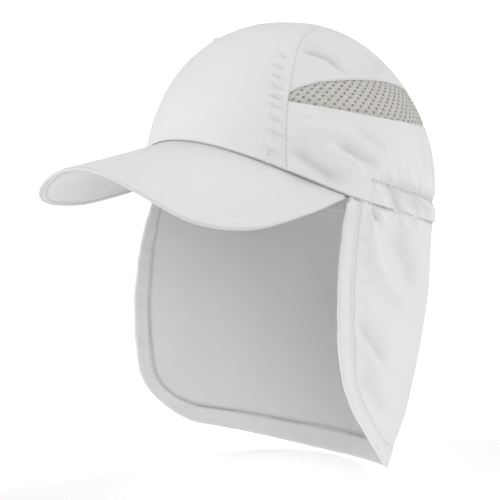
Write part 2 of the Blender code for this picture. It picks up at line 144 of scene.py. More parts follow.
def run_along(path: Array) -> Array:
    """Length of a path up to each of its points."""
    steps = np.linalg.norm(np.diff(path, axis=0), axis=1)
    return np.concatenate([[0.0], np.cumsum(steps)])


def at_runs(path: Array, run: Array, places: Array) -> Array:
    """Places on a path at given lengths along it; run holds the length at each of its points."""
    return np.stack([np.interp(places, run, path[:, i]) for i in range(path.shape[1])], axis=1)


def resample(path: Array, step: float) -> Array:
    """Path through the same places with even steps."""
    run = run_along(path)
    return at_runs(path, run, np.linspace(0.0, run[-1], max(2, round(run[-1] / step) + 1)))


def between(places: tuple[tuple[float, float], ...]) -> Array:
    """Line through given places, with more places evenly between them."""
    count = len(places)
    return at_runs(np.array(places), np.arange(count), np.linspace(0.0, count - 1.0, 12 * count))


def nearest(points: Array, path: Array) -> Array:
    """Number of the path's place that is nearest to each point."""
    found = np.empty(len(points), dtype=int)
    lengths = np.sum(path**2, axis=1)
    for start in range(0, len(points), CHUNK):
        part = points[start : start + CHUNK]
        found[start : start + CHUNK] = np.argmin(lengths - 2.0 * part @ path.T, axis=1)
    return found


def on_dome(angle: Array, lift: Array) -> Array:
    """Unit vector that stands for a place on the crown."""
    return np.stack([np.sin(angle) * np.cos(lift), -np.cos(angle) * np.cos(lift), np.sin(lift)], axis=-1)


def off_dome(vectors: Array) -> tuple[Array, Array]:
    """Angle round the head and lift of each vector."""
    vectors = unit(vectors)
    angle = np.mod(np.arctan2(vectors[..., 0], -vectors[..., 1]), 2.0 * math.pi)
    return angle, np.arcsin(np.clip(vectors[..., 2], -1.0, 1.0))


def turn_of(angle: Array) -> Array:
    """Angle from the forehead on either side of the head."""
    return math.pi - np.abs(np.mod(angle, TURN) - math.pi)


def bridge(middle: Array, corner: Array, across: Array) -> tuple[Array, Array]:
    """Angle and lift of places on a row from a middle place out to a corner and its mirror image.

    Args:
        middle: vectors of the row's middle.
        corner: vectors of its left end.
        across: place on the row, from -1 at the right end to 1 at the left.

    Returns:
        Angle and lift of each place.
    """
    share = across[..., None]
    return off_dome(middle + share**2 * (corner * [0, 1, 1] - middle) + share * corner * [1, 0, 0])


@dataclass(frozen=True)
class CrownForm:
    """Crown before its cloth puckers: rounded quarters that meet at the sides, and how it leans."""

    half_width: float = 80.0 * MM
    front_length: float = 100.0 * MM
    back_length: float = 102.0 * MM
    height: float = 104.6 * MM
    top_shift: float = 11.2 * MM
    front_rise: float = 16.2 * MM
    back_rise: float = 4.5 * MM
    lean: float = math.radians(15.8)
    front_taper: float = 1.24
    back_taper: float = 1.40
    side_taper: float = 0.86
    height_power: float = 0.88
    lift_rounds: int = 12
    locate_rounds: int = 8

    def worn(self, points: Array) -> Array:
        """Leans points of the cap's own frame back about X."""
        lean_cos, lean_sin = math.cos(self.lean), math.sin(self.lean)
        x, y, z = np.moveaxis(points, -1, 0)
        return np.stack([x, lean_cos * y + lean_sin * z, lean_cos * z - lean_sin * y], axis=-1)

    def fore_and_aft(self, angle: Array) -> tuple[Array, Array, Array]:
        """How far each angle looks forward and backward, and the rim's height there."""
        forward = np.clip(np.cos(angle), 0.0, None)
        return forward, np.clip(-np.cos(angle), 0.0, None), self.front_rise * forward**2

    def plain(self, angle: Array, lift: Array) -> Array:
        """Outer face without folds; lift goes from 0 at the rim to a quarter turn at the top."""
        forward, backward, rim = self.fore_and_aft(angle)
        sideways = np.sin(angle) ** 2
        taper = self.front_taper * forward**2 + self.back_taper * backward**2 + self.side_taper * sideways
        closeness = np.clip(np.cos(lift), 0.0, None)
        reach = closeness**taper
        x = self.half_width * np.sin(angle) * reach
        length = self.back_length * backward - self.front_length * forward
        y = length * reach - self.top_shift * np.sin(lift) ** 2
        z = rim + (self.height - rim) * np.clip(np.sin(lift), 0.0, None) ** self.height_power
        return np.stack([x, y, z + self.back_rise * (backward * closeness) ** 2], axis=-1)

    def normals(self, angle: Array, lift: Array) -> Array:
        """Outward unit normals of the plain face."""
        step = 0.002
        lift = np.clip(lift, step, QUARTER - 8 * step)
        around = self.plain(angle + step, lift) - self.plain(angle - step, lift)
        upward = self.plain(angle, lift + step) - self.plain(angle, lift - step)
        return unit(np.cross(around, upward))

    def turn_for(self, distance: float) -> float:
        """Angle on the crown that a distance along its face comes to."""
        return distance / (0.5 * (self.front_length + self.half_width))

    def lift_at(self, angle: Array, height: Array) -> Array:
        """Lift of the places that lie at a height above the rim's plane."""
        _, backward, rim = self.fore_and_aft(angle)
        lift = np.zeros_like(angle + height)
        for _ in range(self.lift_rounds):
            risen = height - rim - self.back_rise * (backward * np.cos(lift)) ** 2
            share = np.clip(risen / (self.height - rim), 0.0, 1.0) ** (1.0 / self.height_power)
            lift = 0.5 * lift + 0.5 * np.arcsin(share)
        return lift

    def line(self, *places: tuple[float, float]) -> Array:
        """Path on the plain face through places given as degrees from the forehead and mm of height."""
        angle, height = between(places).T
        angle, height = np.radians(angle), MM * height
        return self.plain(angle, self.lift_at(angle, height))

    def locate(self, points: Array, angle: Array, lift: Array) -> tuple[Array, Array]:
        """Angle and lift of the plain face's places nearest to some points, from a first guess."""
        probe, least = 1e-4, 1e-14
        spot = on_dome(angle, lift)
        for _ in range(self.locate_rounds):
            side = unit(np.cross(spot, [0.0, 0.6, 0.8]))
            ahead = np.cross(spot, side)
            here = self.plain(*off_dome(spot))
            slope_side = (self.plain(*off_dome(spot + probe * side)) - here) / probe
            slope_ahead = (self.plain(*off_dome(spot + probe * ahead)) - here) / probe
            gap = points - here
            a, b = np.sum(slope_side**2, -1), np.sum(slope_side * slope_ahead, -1)
            c = np.sum(slope_ahead**2, -1)
            p, q = np.sum(slope_side * gap, -1), np.sum(slope_ahead * gap, -1)
            det = np.maximum(a * c - b * b, least)
            move_side, move_ahead = (c * p - b * q) / det, (a * q - b * p) / det
            spot = unit(spot + move_side[:, None] * side + move_ahead[:, None] * ahead)
        return off_dome(spot)


@dataclass(frozen=True)
class SewnLine:
    """A seam, fold or row of stitches, and what it does to the cloth beside it.

    Puckers are ripples across the line that fade with the distance from it. A band lies to the left of the
    path, seen from outside, and keeps its puckers over its whole width. Its shade is painted shade: the
    cloth's colour darkens along the line, standing for the shadow in its groove and stitch holes.
    """

    path: Array
    groove: float = 0.0
    width: float = 0.8 * MM
    pucker: float = 0.0
    spacing: float = 6.0 * MM
    reach: float = 6.0 * MM
    slant: float = 0.0
    band: float = 0.0
    band_width: float = 0.0
    shade: float = 0.0
    pitch: float = 0.0
    fade: float = 0.0
    seed: int = 1
    path_step: float = 0.5 * MM
    dash_share: float = 0.45
    pucker_end: float = 3.0 * MM

    def measure(self, points: Array, normals: Array) -> tuple[Array, Array]:
        """Signed distance from the line and the place along it, for each point."""
        path = resample(self.path, self.path_step)
        tangents = unit(np.gradient(path, axis=0))
        runs = run_along(path)
        found = nearest(points, path)
        gap = points - path[found]
        left = np.sum(np.cross(normals, tangents[found]) * gap, axis=1)
        ahead = np.sum(tangents[found] * gap, axis=1)
        inside = (found > 0) & (found < len(path) - 1)
        aside = np.sqrt(np.maximum(np.sum(gap**2, axis=1) - ahead**2, 0.0))
        size = np.where(inside, aside, np.linalg.norm(gap, axis=1))
        return np.copysign(size, left), runs[found] + np.where(inside, ahead, 0.0)

    def act(self, points: Array, normals: Array) -> tuple[Array, Array]:
        """How far the line raises the cloth at each point, and how much painted shade it puts there."""
        relief, shade = np.zeros(len(points)), np.zeros(len(points))
        margin = max(3.0 * self.width, 5.0 * self.reach if self.pucker else 0.0, self.band_width + 3.0 * MM)
        low, high = self.path.min(axis=0) - margin, self.path.max(axis=0) + margin
        near = np.all((points > low) & (points < high), axis=1)
        if near.any():
            relief[near], shade[near] = self.act_near(points[near], normals[near])
        return relief, shade

    def ends(self, run: Array, fade: float) -> Array:
        """Share that rises from 0 at either end of the line to 1 at a distance from it."""
        length = run_along(self.path)[-1]
        return smooth_step(run / fade) * smooth_step((length - run) / fade)

    def act_near(self, points: Array, normals: Array) -> tuple[Array, Array]:
        """Does what act says, for points that are near the line."""
        distance, run = self.measure(points, normals)
        away = np.abs(distance)
        pulse = np.ones_like(away)
        if self.pitch:
            pulse = 1.0 - self.dash_share + self.dash_share * np.cos(TURN * run / self.pitch)
        if self.fade:
            pulse = pulse * self.ends(run, self.fade)
        relief = -self.groove * pulse * bump(away / self.width)
        if self.pucker:
            ends = self.ends(run, self.pucker_end)
            fade = np.exp(-away / self.reach) * ends
            if self.band_width:
                rise = smooth_step(distance / (1.5 * MM))
                within = rise * smooth_step((self.band_width - distance) / (2.5 * MM))
                fade = np.maximum(within * ends, 0.3 * fade)
            relief += self.pucker * ripple(run + self.slant * distance, self.spacing, self.seed) * fade
        if self.band:
            rise = smooth_step(distance / MM)
            relief += self.band * rise * smooth_step((self.band_width - distance) / MM + 0.5)
        return relief, self.shade * pulse * bump(away / self.width)


def fold(path: Array, height: float, width: float) -> SewnLine:
    """Soft fold along a path that fades at both ends; its height is negative for a valley, which also gets
    painted shade.

    Args:
        path: places of the fold.
        height: how far it stands out, in mm.
        width: half its width, in mm.

    Returns:
        The fold as a line.
    """
    # painted shade in the valley, darker for deeper valleys
    shade = 0.12 * min(1.6, max(0.0, -height))
    return SewnLine(path, -height * MM, width * MM, shade=shade, fade=0.3 * float(run_along(path)[-1]))


class Cloth:
    """Grid of places on one piece of cloth, from which its mesh is made."""

    def __init__(self, name: str, points: Array, flat: Array, shade: Array | None = None) -> None:
        """Keeps the sheet's outer places (rows, columns, 3), their flat places and their shade."""
        self.name = name
        self.points = points
        self.flat = flat
        self.shade = np.zeros(points.shape[:2]) if shade is None else shade
        self.keep = np.ones((points.shape[0] - 1, points.shape[1] - 1), dtype=bool)

    def build(self, wall: float, sharp: float = 50.0) -> bpy.types.Object:
        """Makes the sheet's mesh, outer face first, and gives it a wall on its inner side.

        Args:
            wall: thickness of the cloth.
            sharp: edges that turn by more than this many degrees stay sharp.

        Returns:
            The finished object.
        """
        rows, columns, _ = self.points.shape
        index = np.arange(rows * columns).reshape(rows, columns)
        faces = np.stack([index[:-1, :-1], index[:-1, 1:], index[1:, 1:], index[1:, :-1]], axis=-1)[self.keep]
        used, faces = np.unique(faces, return_inverse=True)
        faces = faces.reshape(-1, 4)
        mesh = bpy.data.meshes.new(self.name)
        mesh.vertices.add(len(used))
        mesh.vertices.foreach_set("co", self.points.reshape(-1, 3)[used].ravel())
        mesh.loops.add(faces.size)
        mesh.loops.foreach_set("vertex_index", faces.ravel())
        mesh.polygons.add(len(faces))
        mesh.polygons.foreach_set("loop_start", np.arange(0, faces.size, 4))
        mesh.update(calc_edges=True)
        mesh.uv_layers.new(name="cloth").uv.foreach_set("vector", self.flat.reshape(-1, 2)[used][faces].ravel())
        shade = mesh.attributes.new("shade", "FLOAT", "POINT")
        shade.data.foreach_set("value", np.clip(self.shade.ravel()[used], 0.0, 1.0))
        piece = bpy.data.objects.new(self.name, mesh)
        bpy.context.scene.collection.objects.link(piece)
        if wall:
            apply_wall(piece, wall)
        smooth(piece, sharp)
        return piece


def pick(piece: bpy.types.Object) -> None:
    """Makes a piece the only selected and the active object."""
    bpy.ops.object.select_all(action="DESELECT")
    piece.select_set(True)
    bpy.context.view_layer.objects.active = piece


def apply_wall(piece: bpy.types.Object, wall: float) -> None:
    """Gives an open sheet a wall on its inner side."""
    pick(piece)
    thickness = piece.modifiers.new("Wall", "SOLIDIFY")
    thickness.thickness = wall
    thickness.offset = -1.0
    bpy.ops.object.modifier_apply(modifier="Wall")


def smooth(piece: bpy.types.Object, sharp: float) -> None:
    """Shades a piece smooth except at edges that turn by more than some degrees."""
    pick(piece)
    bpy.ops.object.shade_smooth_by_angle(angle=math.radians(sharp))


def dress(piece: bpy.types.Object, material: bpy.types.Material, node: str = "") -> bpy.types.Object:
    """Gives a piece its material and its place in the frame.

    Args:
        piece: the finished piece.
        material: its material.
        node: the solid that it stands for, if it does.

    Returns:
        The same piece.
    """
    piece.data.materials.append(material)
    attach(piece, "root")
    if node:
        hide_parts(node)
    return piece


class Nodes:
    """Short way to write a material's or a group's nodes."""

    def __init__(self, tree: bpy.types.NodeTree) -> None:
        """Works on one node tree."""
        self.tree = tree

    def add(self, kind: str, **inputs: object) -> bpy.types.Node:
        """Adds a node; words that name its settings are set, the others are its sockets' values or links."""
        node = self.tree.nodes.new(kind)
        for word, value in inputs.items():
            if hasattr(node, word):
                setattr(node, word, value)
                continue
            numbered = word[0] == "i" and word[1:].isdigit()
            socket = node.inputs[int(word[1:]) if numbered else word.replace("_", " ").title()]
            if isinstance(value, bpy.types.NodeSocket):
                self.tree.links.new(value, socket)
            else:
                socket.default_value = value
        return node

    def math(self, operation: str, *values: object) -> bpy.types.NodeSocket:
        """Result of a Math node."""
        sockets = {f"i{i}": value for i, value in enumerate(values)}
        return self.add("ShaderNodeMath", operation=operation, **sockets).outputs[0]

    def scaled(self, vector: object, factor: object) -> bpy.types.NodeSocket:
        """Vector or colour times a factor."""
        return self.add("ShaderNodeVectorMath", operation="SCALE", i0=vector, Scale=factor).outputs[0]

    def tone(self, amount: float) -> bpy.types.NodeSocket:
        """Changes of tone over a piece, about 1."""
        place = self.add("ShaderNodeTexCoord").outputs["Object"]
        return self.add("ShaderNodeGroup", node_tree=Groups.tone(), Place=place, Amount=amount).outputs["Tone"]


class Groups:
    """Shader node groups that several finishes share, each made once."""

    @staticmethod
    def start(name: str, inputs: dict[str, tuple[str, object]], outputs: dict[str, str]) -> tuple:
        """Makes an empty group and gives its nodes, its input node and its output node."""
        tree = bpy.data.node_groups.new(name, "ShaderNodeTree")
        for word, (kind, value) in inputs.items():
            socket = tree.interface.new_socket(word, in_out="INPUT", socket_type=kind)
            if value is not None:
                socket.default_value = value
        for word, kind in outputs.items():
            tree.interface.new_socket(word, in_out="OUTPUT", socket_type=kind)
        nodes = Nodes(tree)
        return nodes, nodes.add("NodeGroupInput"), nodes.add("NodeGroupOutput")

    @staticmethod
    def plain_weave() -> bpy.types.NodeTree:
        """Threads that pass over and under each other, from a flat place in metres."""
        if "plain_weave" in bpy.data.node_groups:
            return bpy.data.node_groups["plain_weave"]
        nodes, given, made = Groups.start(
            "plain_weave",
            {"Place": ("NodeSocketVector", None), "Threads": ("NodeSocketFloat", 2000.0)},
            {"Height": "NodeSocketFloat"},
        )
        flat = nodes.scaled(given.outputs["Place"], given.outputs["Threads"])
        parts = nodes.add("ShaderNodeSeparateXYZ", Vector=flat).outputs
        waves = [nodes.math("SINE", nodes.math("MULTIPLY", part, math.pi)) for part in parts[:2]]
        warp, weft = (nodes.math("ABSOLUTE", wave) for wave in waves)
        checks = nodes.add("ShaderNodeTexChecker", Vector=flat, Scale=1.0).outputs["Fac"]
        over = nodes.math("MULTIPLY", warp, checks)
        under = nodes.math("MULTIPLY", weft, nodes.math("SUBTRACT", 1.0, checks))
        nodes.tree.links.new(nodes.math("ADD", over, under), made.inputs["Height"])
        return nodes.tree

    @staticmethod
    def tone() -> bpy.types.NodeTree:
        """Slow and fine changes of tone over cloth, about 1."""
        if "cloth_tone" in bpy.data.node_groups:
            return bpy.data.node_groups["cloth_tone"]
        nodes, given, made = Groups.start(
            "cloth_tone",
            {"Place": ("NodeSocketVector", None), "Amount": ("NodeSocketFloat", 0.02)},
            {"Tone": "NodeSocketFloat"},
        )
        slow = nodes.add("ShaderNodeTexNoise", Vector=given.outputs["Place"], Scale=28.0, Detail=2.0)
        fine = nodes.add("ShaderNodeTexNoise", Vector=given.outputs["Place"], Scale=420.0, Detail=3.0)
        both = nodes.math("ADD", slow.outputs["Fac"], nodes.math("MULTIPLY", fine.outputs["Fac"], 0.6))
        around = nodes.math("MULTIPLY", nodes.math("SUBTRACT", both, 0.8), given.outputs["Amount"])
        nodes.tree.links.new(nodes.math("ADD", around, 1.0), made.inputs["Tone"])
        return nodes.tree


class Surface(Nodes):
    """New material and the nodes round its shader."""

    def __init__(self, name: str, values: dict[str, float]) -> None:
        """Makes the material and sets its shader's plain values."""
        self.material = bpy.data.materials.new(name)
        self.material.use_nodes = True
        super().__init__(self.material.node_tree)
        self.shader = self.tree.nodes["Principled BSDF"]
        self.shader.inputs["Metallic"].default_value = 0.0
        for word, value in values.items():
            self.shader.inputs[word].default_value = value

    def join(self, socket: bpy.types.NodeSocket, word: str) -> None:
        """Leads a value into the shader."""
        self.tree.links.new(socket, self.shader.inputs[word])

    def flat(self) -> bpy.types.NodeSocket:
        """Place on the cloth laid flat."""
        return self.add("ShaderNodeUVMap", uv_map="cloth").outputs["UV"]

    def shade(self) -> bpy.types.NodeSocket:
        """Painted shade that folds, seams and edges put into the cloth's colour."""
        return self.add("ShaderNodeAttribute", attribute_name="shade").outputs["Fac"]

    def shaded_colour(self, plain: tuple, shaded: tuple, share: bpy.types.NodeSocket) -> bpy.types.NodeSocket:
        """Colour that goes over to its shaded one by a share of painted shade."""
        mixed = self.add("ShaderNodeMix", data_type="RGBA", i0=share, i6=(*plain, 1.0), i7=(*shaded, 1.0))
        return mixed.outputs[2]

    def raise_by(self, height: bpy.types.NodeSocket, distance: float, strength: float) -> None:
        """Gives the surface a fine relief."""
        relief = self.add("ShaderNodeBump", Strength=strength, Distance=distance, Height=height)
        self.join(relief.outputs["Normal"], "Normal")


@dataclass(frozen=True)
class ClothFinish:
    """Matt woven cloth: its colour, its thread count and how it takes light."""

    name: str
    colour: tuple[float, float, float] = (0.79, 0.78, 0.775)
    # shaded is the near-black colour that painted shade draws the cloth's colour towards
    shaded: tuple[float, float, float] = (0.12, 0.12, 0.118)
    shade_share: float = 0.58
    roughness: float = 0.82
    sheen: float = 0.25
    sheen_roughness: float = 0.6
    specular: float = 0.25
    threads: float = 2200.0
    relief: float = 0.04 * MM
    variation: float = 0.03

    def material(self) -> bpy.types.Material:
        """Makes the material."""
        surface = Surface(self.name, {
            "Sheen Weight": self.sheen,
            "Sheen Roughness": self.sheen_roughness,
            "Specular IOR Level": self.specular,
        })
        tone = surface.tone(self.variation)
        # painted shade: the shade attribute darkens the cloth's colour towards the shaded colour
        dark = surface.math("MULTIPLY", surface.shade(), self.shade_share)
        surface.join(surface.scaled(surface.shaded_colour(self.colour, self.shaded, dark), tone), "Base Color")
        surface.join(surface.math("MULTIPLY", tone, self.roughness), "Roughness")
        weave = surface.add(
            "ShaderNodeGroup", node_tree=Groups.plain_weave(), Place=surface.flat(), Threads=self.threads
        )
        surface.raise_by(weave.outputs["Height"], self.relief, 1.0)
        return surface.material


@dataclass(frozen=True)
class KnitFinish:
    """Open knit of the vents: greyer than the cloth, with painted shade round each hole and between the fine
    slanted ribs.
    """

    name: str = "vent_knit"
    colour: tuple[float, float, float] = (0.66, 0.64, 0.605)
    # shaded is the dark colour of the painted shade round the holes and between the ribs
    shaded: tuple[float, float, float] = (0.20, 0.19, 0.175)
    roughness: float = 0.75
    sheen: float = 0.15
    specular: float = 0.25
    strand: float = 0.75 * MM
    run: float = 1.9 * MM
    lean: float = math.radians(48.0)
    rib_range: tuple[float, float] = (0.35, 0.65)
    between_ribs: float = 0.30
    relief: float = 0.35 * MM
    relief_share: float = 0.8
    variation: float = 0.10

    def ribs(self, surface: Surface) -> bpy.types.NodeSocket:
        """Height of the slanted ribs, from 0 between them to 1."""
        parts = surface.add("ShaderNodeSeparateXYZ", Vector=surface.flat()).outputs
        lean_cos, lean_sin = math.cos(self.lean), math.sin(self.lean)
        across = surface.math(
            "SUBTRACT",
            surface.math("MULTIPLY", parts[0], lean_sin / self.strand),
            surface.math("MULTIPLY", parts[1], lean_cos / self.strand),
        )
        along = surface.math(
            "ADD",
            surface.math("MULTIPLY", parts[0], lean_cos / self.run),
            surface.math("MULTIPLY", parts[1], lean_sin / self.run),
        )
        spot = surface.add("ShaderNodeCombineXYZ", X=across, Y=along).outputs[0]
        strands = surface.add("ShaderNodeTexNoise", Vector=spot, Scale=1.0, Detail=2.0).outputs["Fac"]
        low, high = self.rib_range
        return surface.add("ShaderNodeMapRange", Value=strands, From_Min=low, From_Max=high).outputs[0]

    def material(self) -> bpy.types.Material:
        """Makes the material."""
        surface = Surface(self.name, {
            "Sheen Weight": self.sheen,
            "Specular IOR Level": self.specular,
            "Roughness": self.roughness,
        })
        ribs = self.ribs(surface)
        # painted shade between the ribs
        low = surface.math("MULTIPLY", surface.math("SUBTRACT", 1.0, ribs), self.between_ribs)
        dark = surface.math("MAXIMUM", surface.shade(), low)
        colour = surface.shaded_colour(self.colour, self.shaded, dark)
        surface.join(surface.scaled(colour, surface.tone(self.variation)), "Base Color")
        surface.raise_by(ribs, self.relief, self.relief_share)
        return surface.material


@dataclass(frozen=True)
class ThreadFinish:
    """Twisted sewing thread, a little brighter than the cloth."""

    name: str = "thread"
    colour: tuple[float, float, float] = (0.83, 0.83, 0.82)
    roughness: float = 0.6
    specular: float = 0.3
    variation: float = 0.06
    fibre_scale: float = 4000.0
    relief: float = 0.05 * MM
    relief_share: float = 0.5

    def material(self) -> bpy.types.Material:
        """Makes the material."""
        surface = Surface(self.name, {"Roughness": self.roughness, "Specular IOR Level": self.specular})
        surface.join(surface.scaled(self.colour, surface.tone(self.variation)), "Base Color")
        place = surface.add("ShaderNodeTexCoord").outputs["Object"]
        fibre = surface.add("ShaderNodeTexNoise", Vector=place, Scale=self.fibre_scale, Detail=1.0)
        surface.raise_by(fibre.outputs["Fac"], self.relief, self.relief_share)
        return surface.material


@dataclass
class Stitching:
    """Rows of machine stitches that lie on the cloth, joined as one piece."""

    name: str
    slot: Slot
    pitch: float = STITCH_PITCH
    length: float = 2.3 * MM
    radius: float = 0.24 * MM
    stand: float = 0.3
    rows: list[tuple[Array, Array]] = field(default_factory=list)

    def row(self, points: Array, normals: Array) -> None:
        """Adds a row of stitches along places on the cloth with their outward normals."""
        self.rows.append((points, normals))

    def model(self) -> tuple[Array, Array]:
        """One stitch along X with its top towards Z: its vertices and its triangles."""
        bpy.ops.object.select_all(action="DESELECT")
        bpy.ops.mesh.primitive_uv_sphere_add(segments=6, ring_count=4, radius=1.0, rotation=(0.0, QUARTER, 0.0))
        stitch = bpy.context.object
        bpy.ops.object.transform_apply(location=False, rotation=True, scale=False)
        bpy.ops.object.mode_set(mode="EDIT")
        bpy.ops.mesh.quads_convert_to_tris()
        bpy.ops.transform.resize(value=(0.5 * self.length, self.radius, self.radius))
        bpy.ops.object.mode_set(mode="OBJECT")
        vertices = np.array([vertex.co for vertex in stitch.data.vertices])
        triangles = np.array([face.vertices for face in stitch.data.polygons])
        bpy.data.objects.remove(stitch)
        return vertices, triangles

    def build(self, material: bpy.types.Material) -> bpy.types.Object:
        """Copies the stitch along every row and joins the copies."""
        vertices, triangles = self.model()
        spots, axes = [], []
        for points, normals in self.rows:
            run = run_along(points)
            places = np.arange(0.5 * self.pitch, run[-1], self.pitch)
            up = unit(at_runs(normals, run, places))
            along = unit(at_runs(points, run, places + MM) - at_runs(points, run, places - MM))
            side = unit(np.cross(up, along))
            spots.append(at_runs(points, run, places) + self.stand * self.radius * up)
            axes.append(np.stack([along, side, np.cross(along, side)], axis=1))
        spots, axes = np.concatenate(spots), np.concatenate(axes)
        placed = np.einsum("vi,sij->svj", vertices, axes) + spots[:, None]
        faces = triangles[None] + (np.arange(len(spots)) * len(vertices))[:, None, None]
        mesh = bpy.data.meshes.new(self.name)
        mesh.from_pydata(placed.reshape(-1, 3), [], faces.reshape(-1, 3))
        mesh.shade_smooth()
        piece = bpy.data.objects.new(self.name, mesh)
        bpy.context.scene.collection.objects.link(piece)
        log.info("%s: %d stitches", self.name, len(spots))
        return dress(piece, material)


@dataclass(frozen=True)
class SeamPlan:
    """Where the crown's panels meet: the front seams' arch, and the seams over and under the vents."""

    front_angle: float = math.radians(39.5)
    front_flare: float = math.radians(4.0)
    flare_top: float = math.radians(25.0)
    arch_start: float = math.radians(40.0)
    arch_end: float = math.radians(87.0)
    arch_power: float = 2.6
    arch_crown: float = math.radians(2.6)
    arch_tip: float = 0.04
    vent_front: float = math.radians(38.0)
    vent_rear: float = math.radians(150.0)
    vent_base: float = math.radians(20.5)
    vent_lift: float = math.radians(9.5)
    vent_depth: float = math.radians(15.5)
    vent_run: float = math.radians(100.0)
    rear_share: float = 3.0 / 19.0

    def front(self, lift: Array) -> Array:
        """Angle of the left front seam at a lift."""
        flare = self.front_flare * np.clip(1.0 - lift / self.flare_top, 0.0, None) ** 2
        arch = np.clip((lift - self.arch_start) / (QUARTER - self.arch_start), 0.0, None) ** self.arch_power
        return self.front_angle + flare + (QUARTER - self.front_angle) * arch

    def floor(self, turn: Array) -> Array:
        """Lift of the seam under the vents, which runs on round the back."""
        share = np.clip((turn - self.vent_front) / self.vent_run, 0.0, 1.0)
        return self.vent_base + self.vent_lift * np.sin(QUARTER * share)

    def top(self, turn: Array) -> Array:
        """Lift of the seam over the vents; behind them it is the seam under the vents."""
        share = np.clip((turn - self.vent_front) / (self.vent_rear - self.vent_front), 0.0, 1.0)
        return self.floor(turn) + self.vent_depth * np.sin(math.pi * share) ** 0.5

    def over_turn(self, share: Array) -> Array:
        """Turn along the seam over the vents, from the back at 0 to the front seam at 1."""
        return np.interp(share, [0.0, self.rear_share, 1.0], [math.pi, self.vent_rear, self.front_angle])

    def arch(self, share: Array) -> Array:
        """Lift of the front seam's arch, from its top at 0 down to the vents' front ends at 1."""
        end = self.top(np.array([self.front_angle]))[0]
        return self.arch_end + (end - self.arch_end) * share**1.3

    def front_path(self) -> tuple[Array, Array]:
        """Angles and lifts along the front seam, up its left leg, over the top and down its right leg."""
        lifts = np.linspace(0.0, self.arch_end, 240)
        across = np.linspace(1.0, -1.0, 41)[1:-1]
        top = np.full_like(across, self.arch_end)
        corner = on_dome(self.front(top), top)
        middle = on_dome(np.zeros_like(top), top + self.arch_crown)
        tip_angle, tip_lift = bridge(middle, corner, across)
        left = self.front(lifts)
        angles = np.concatenate([left, tip_angle, -left[::-1]])
        return angles, np.concatenate([lifts, tip_lift, lifts[::-1]])


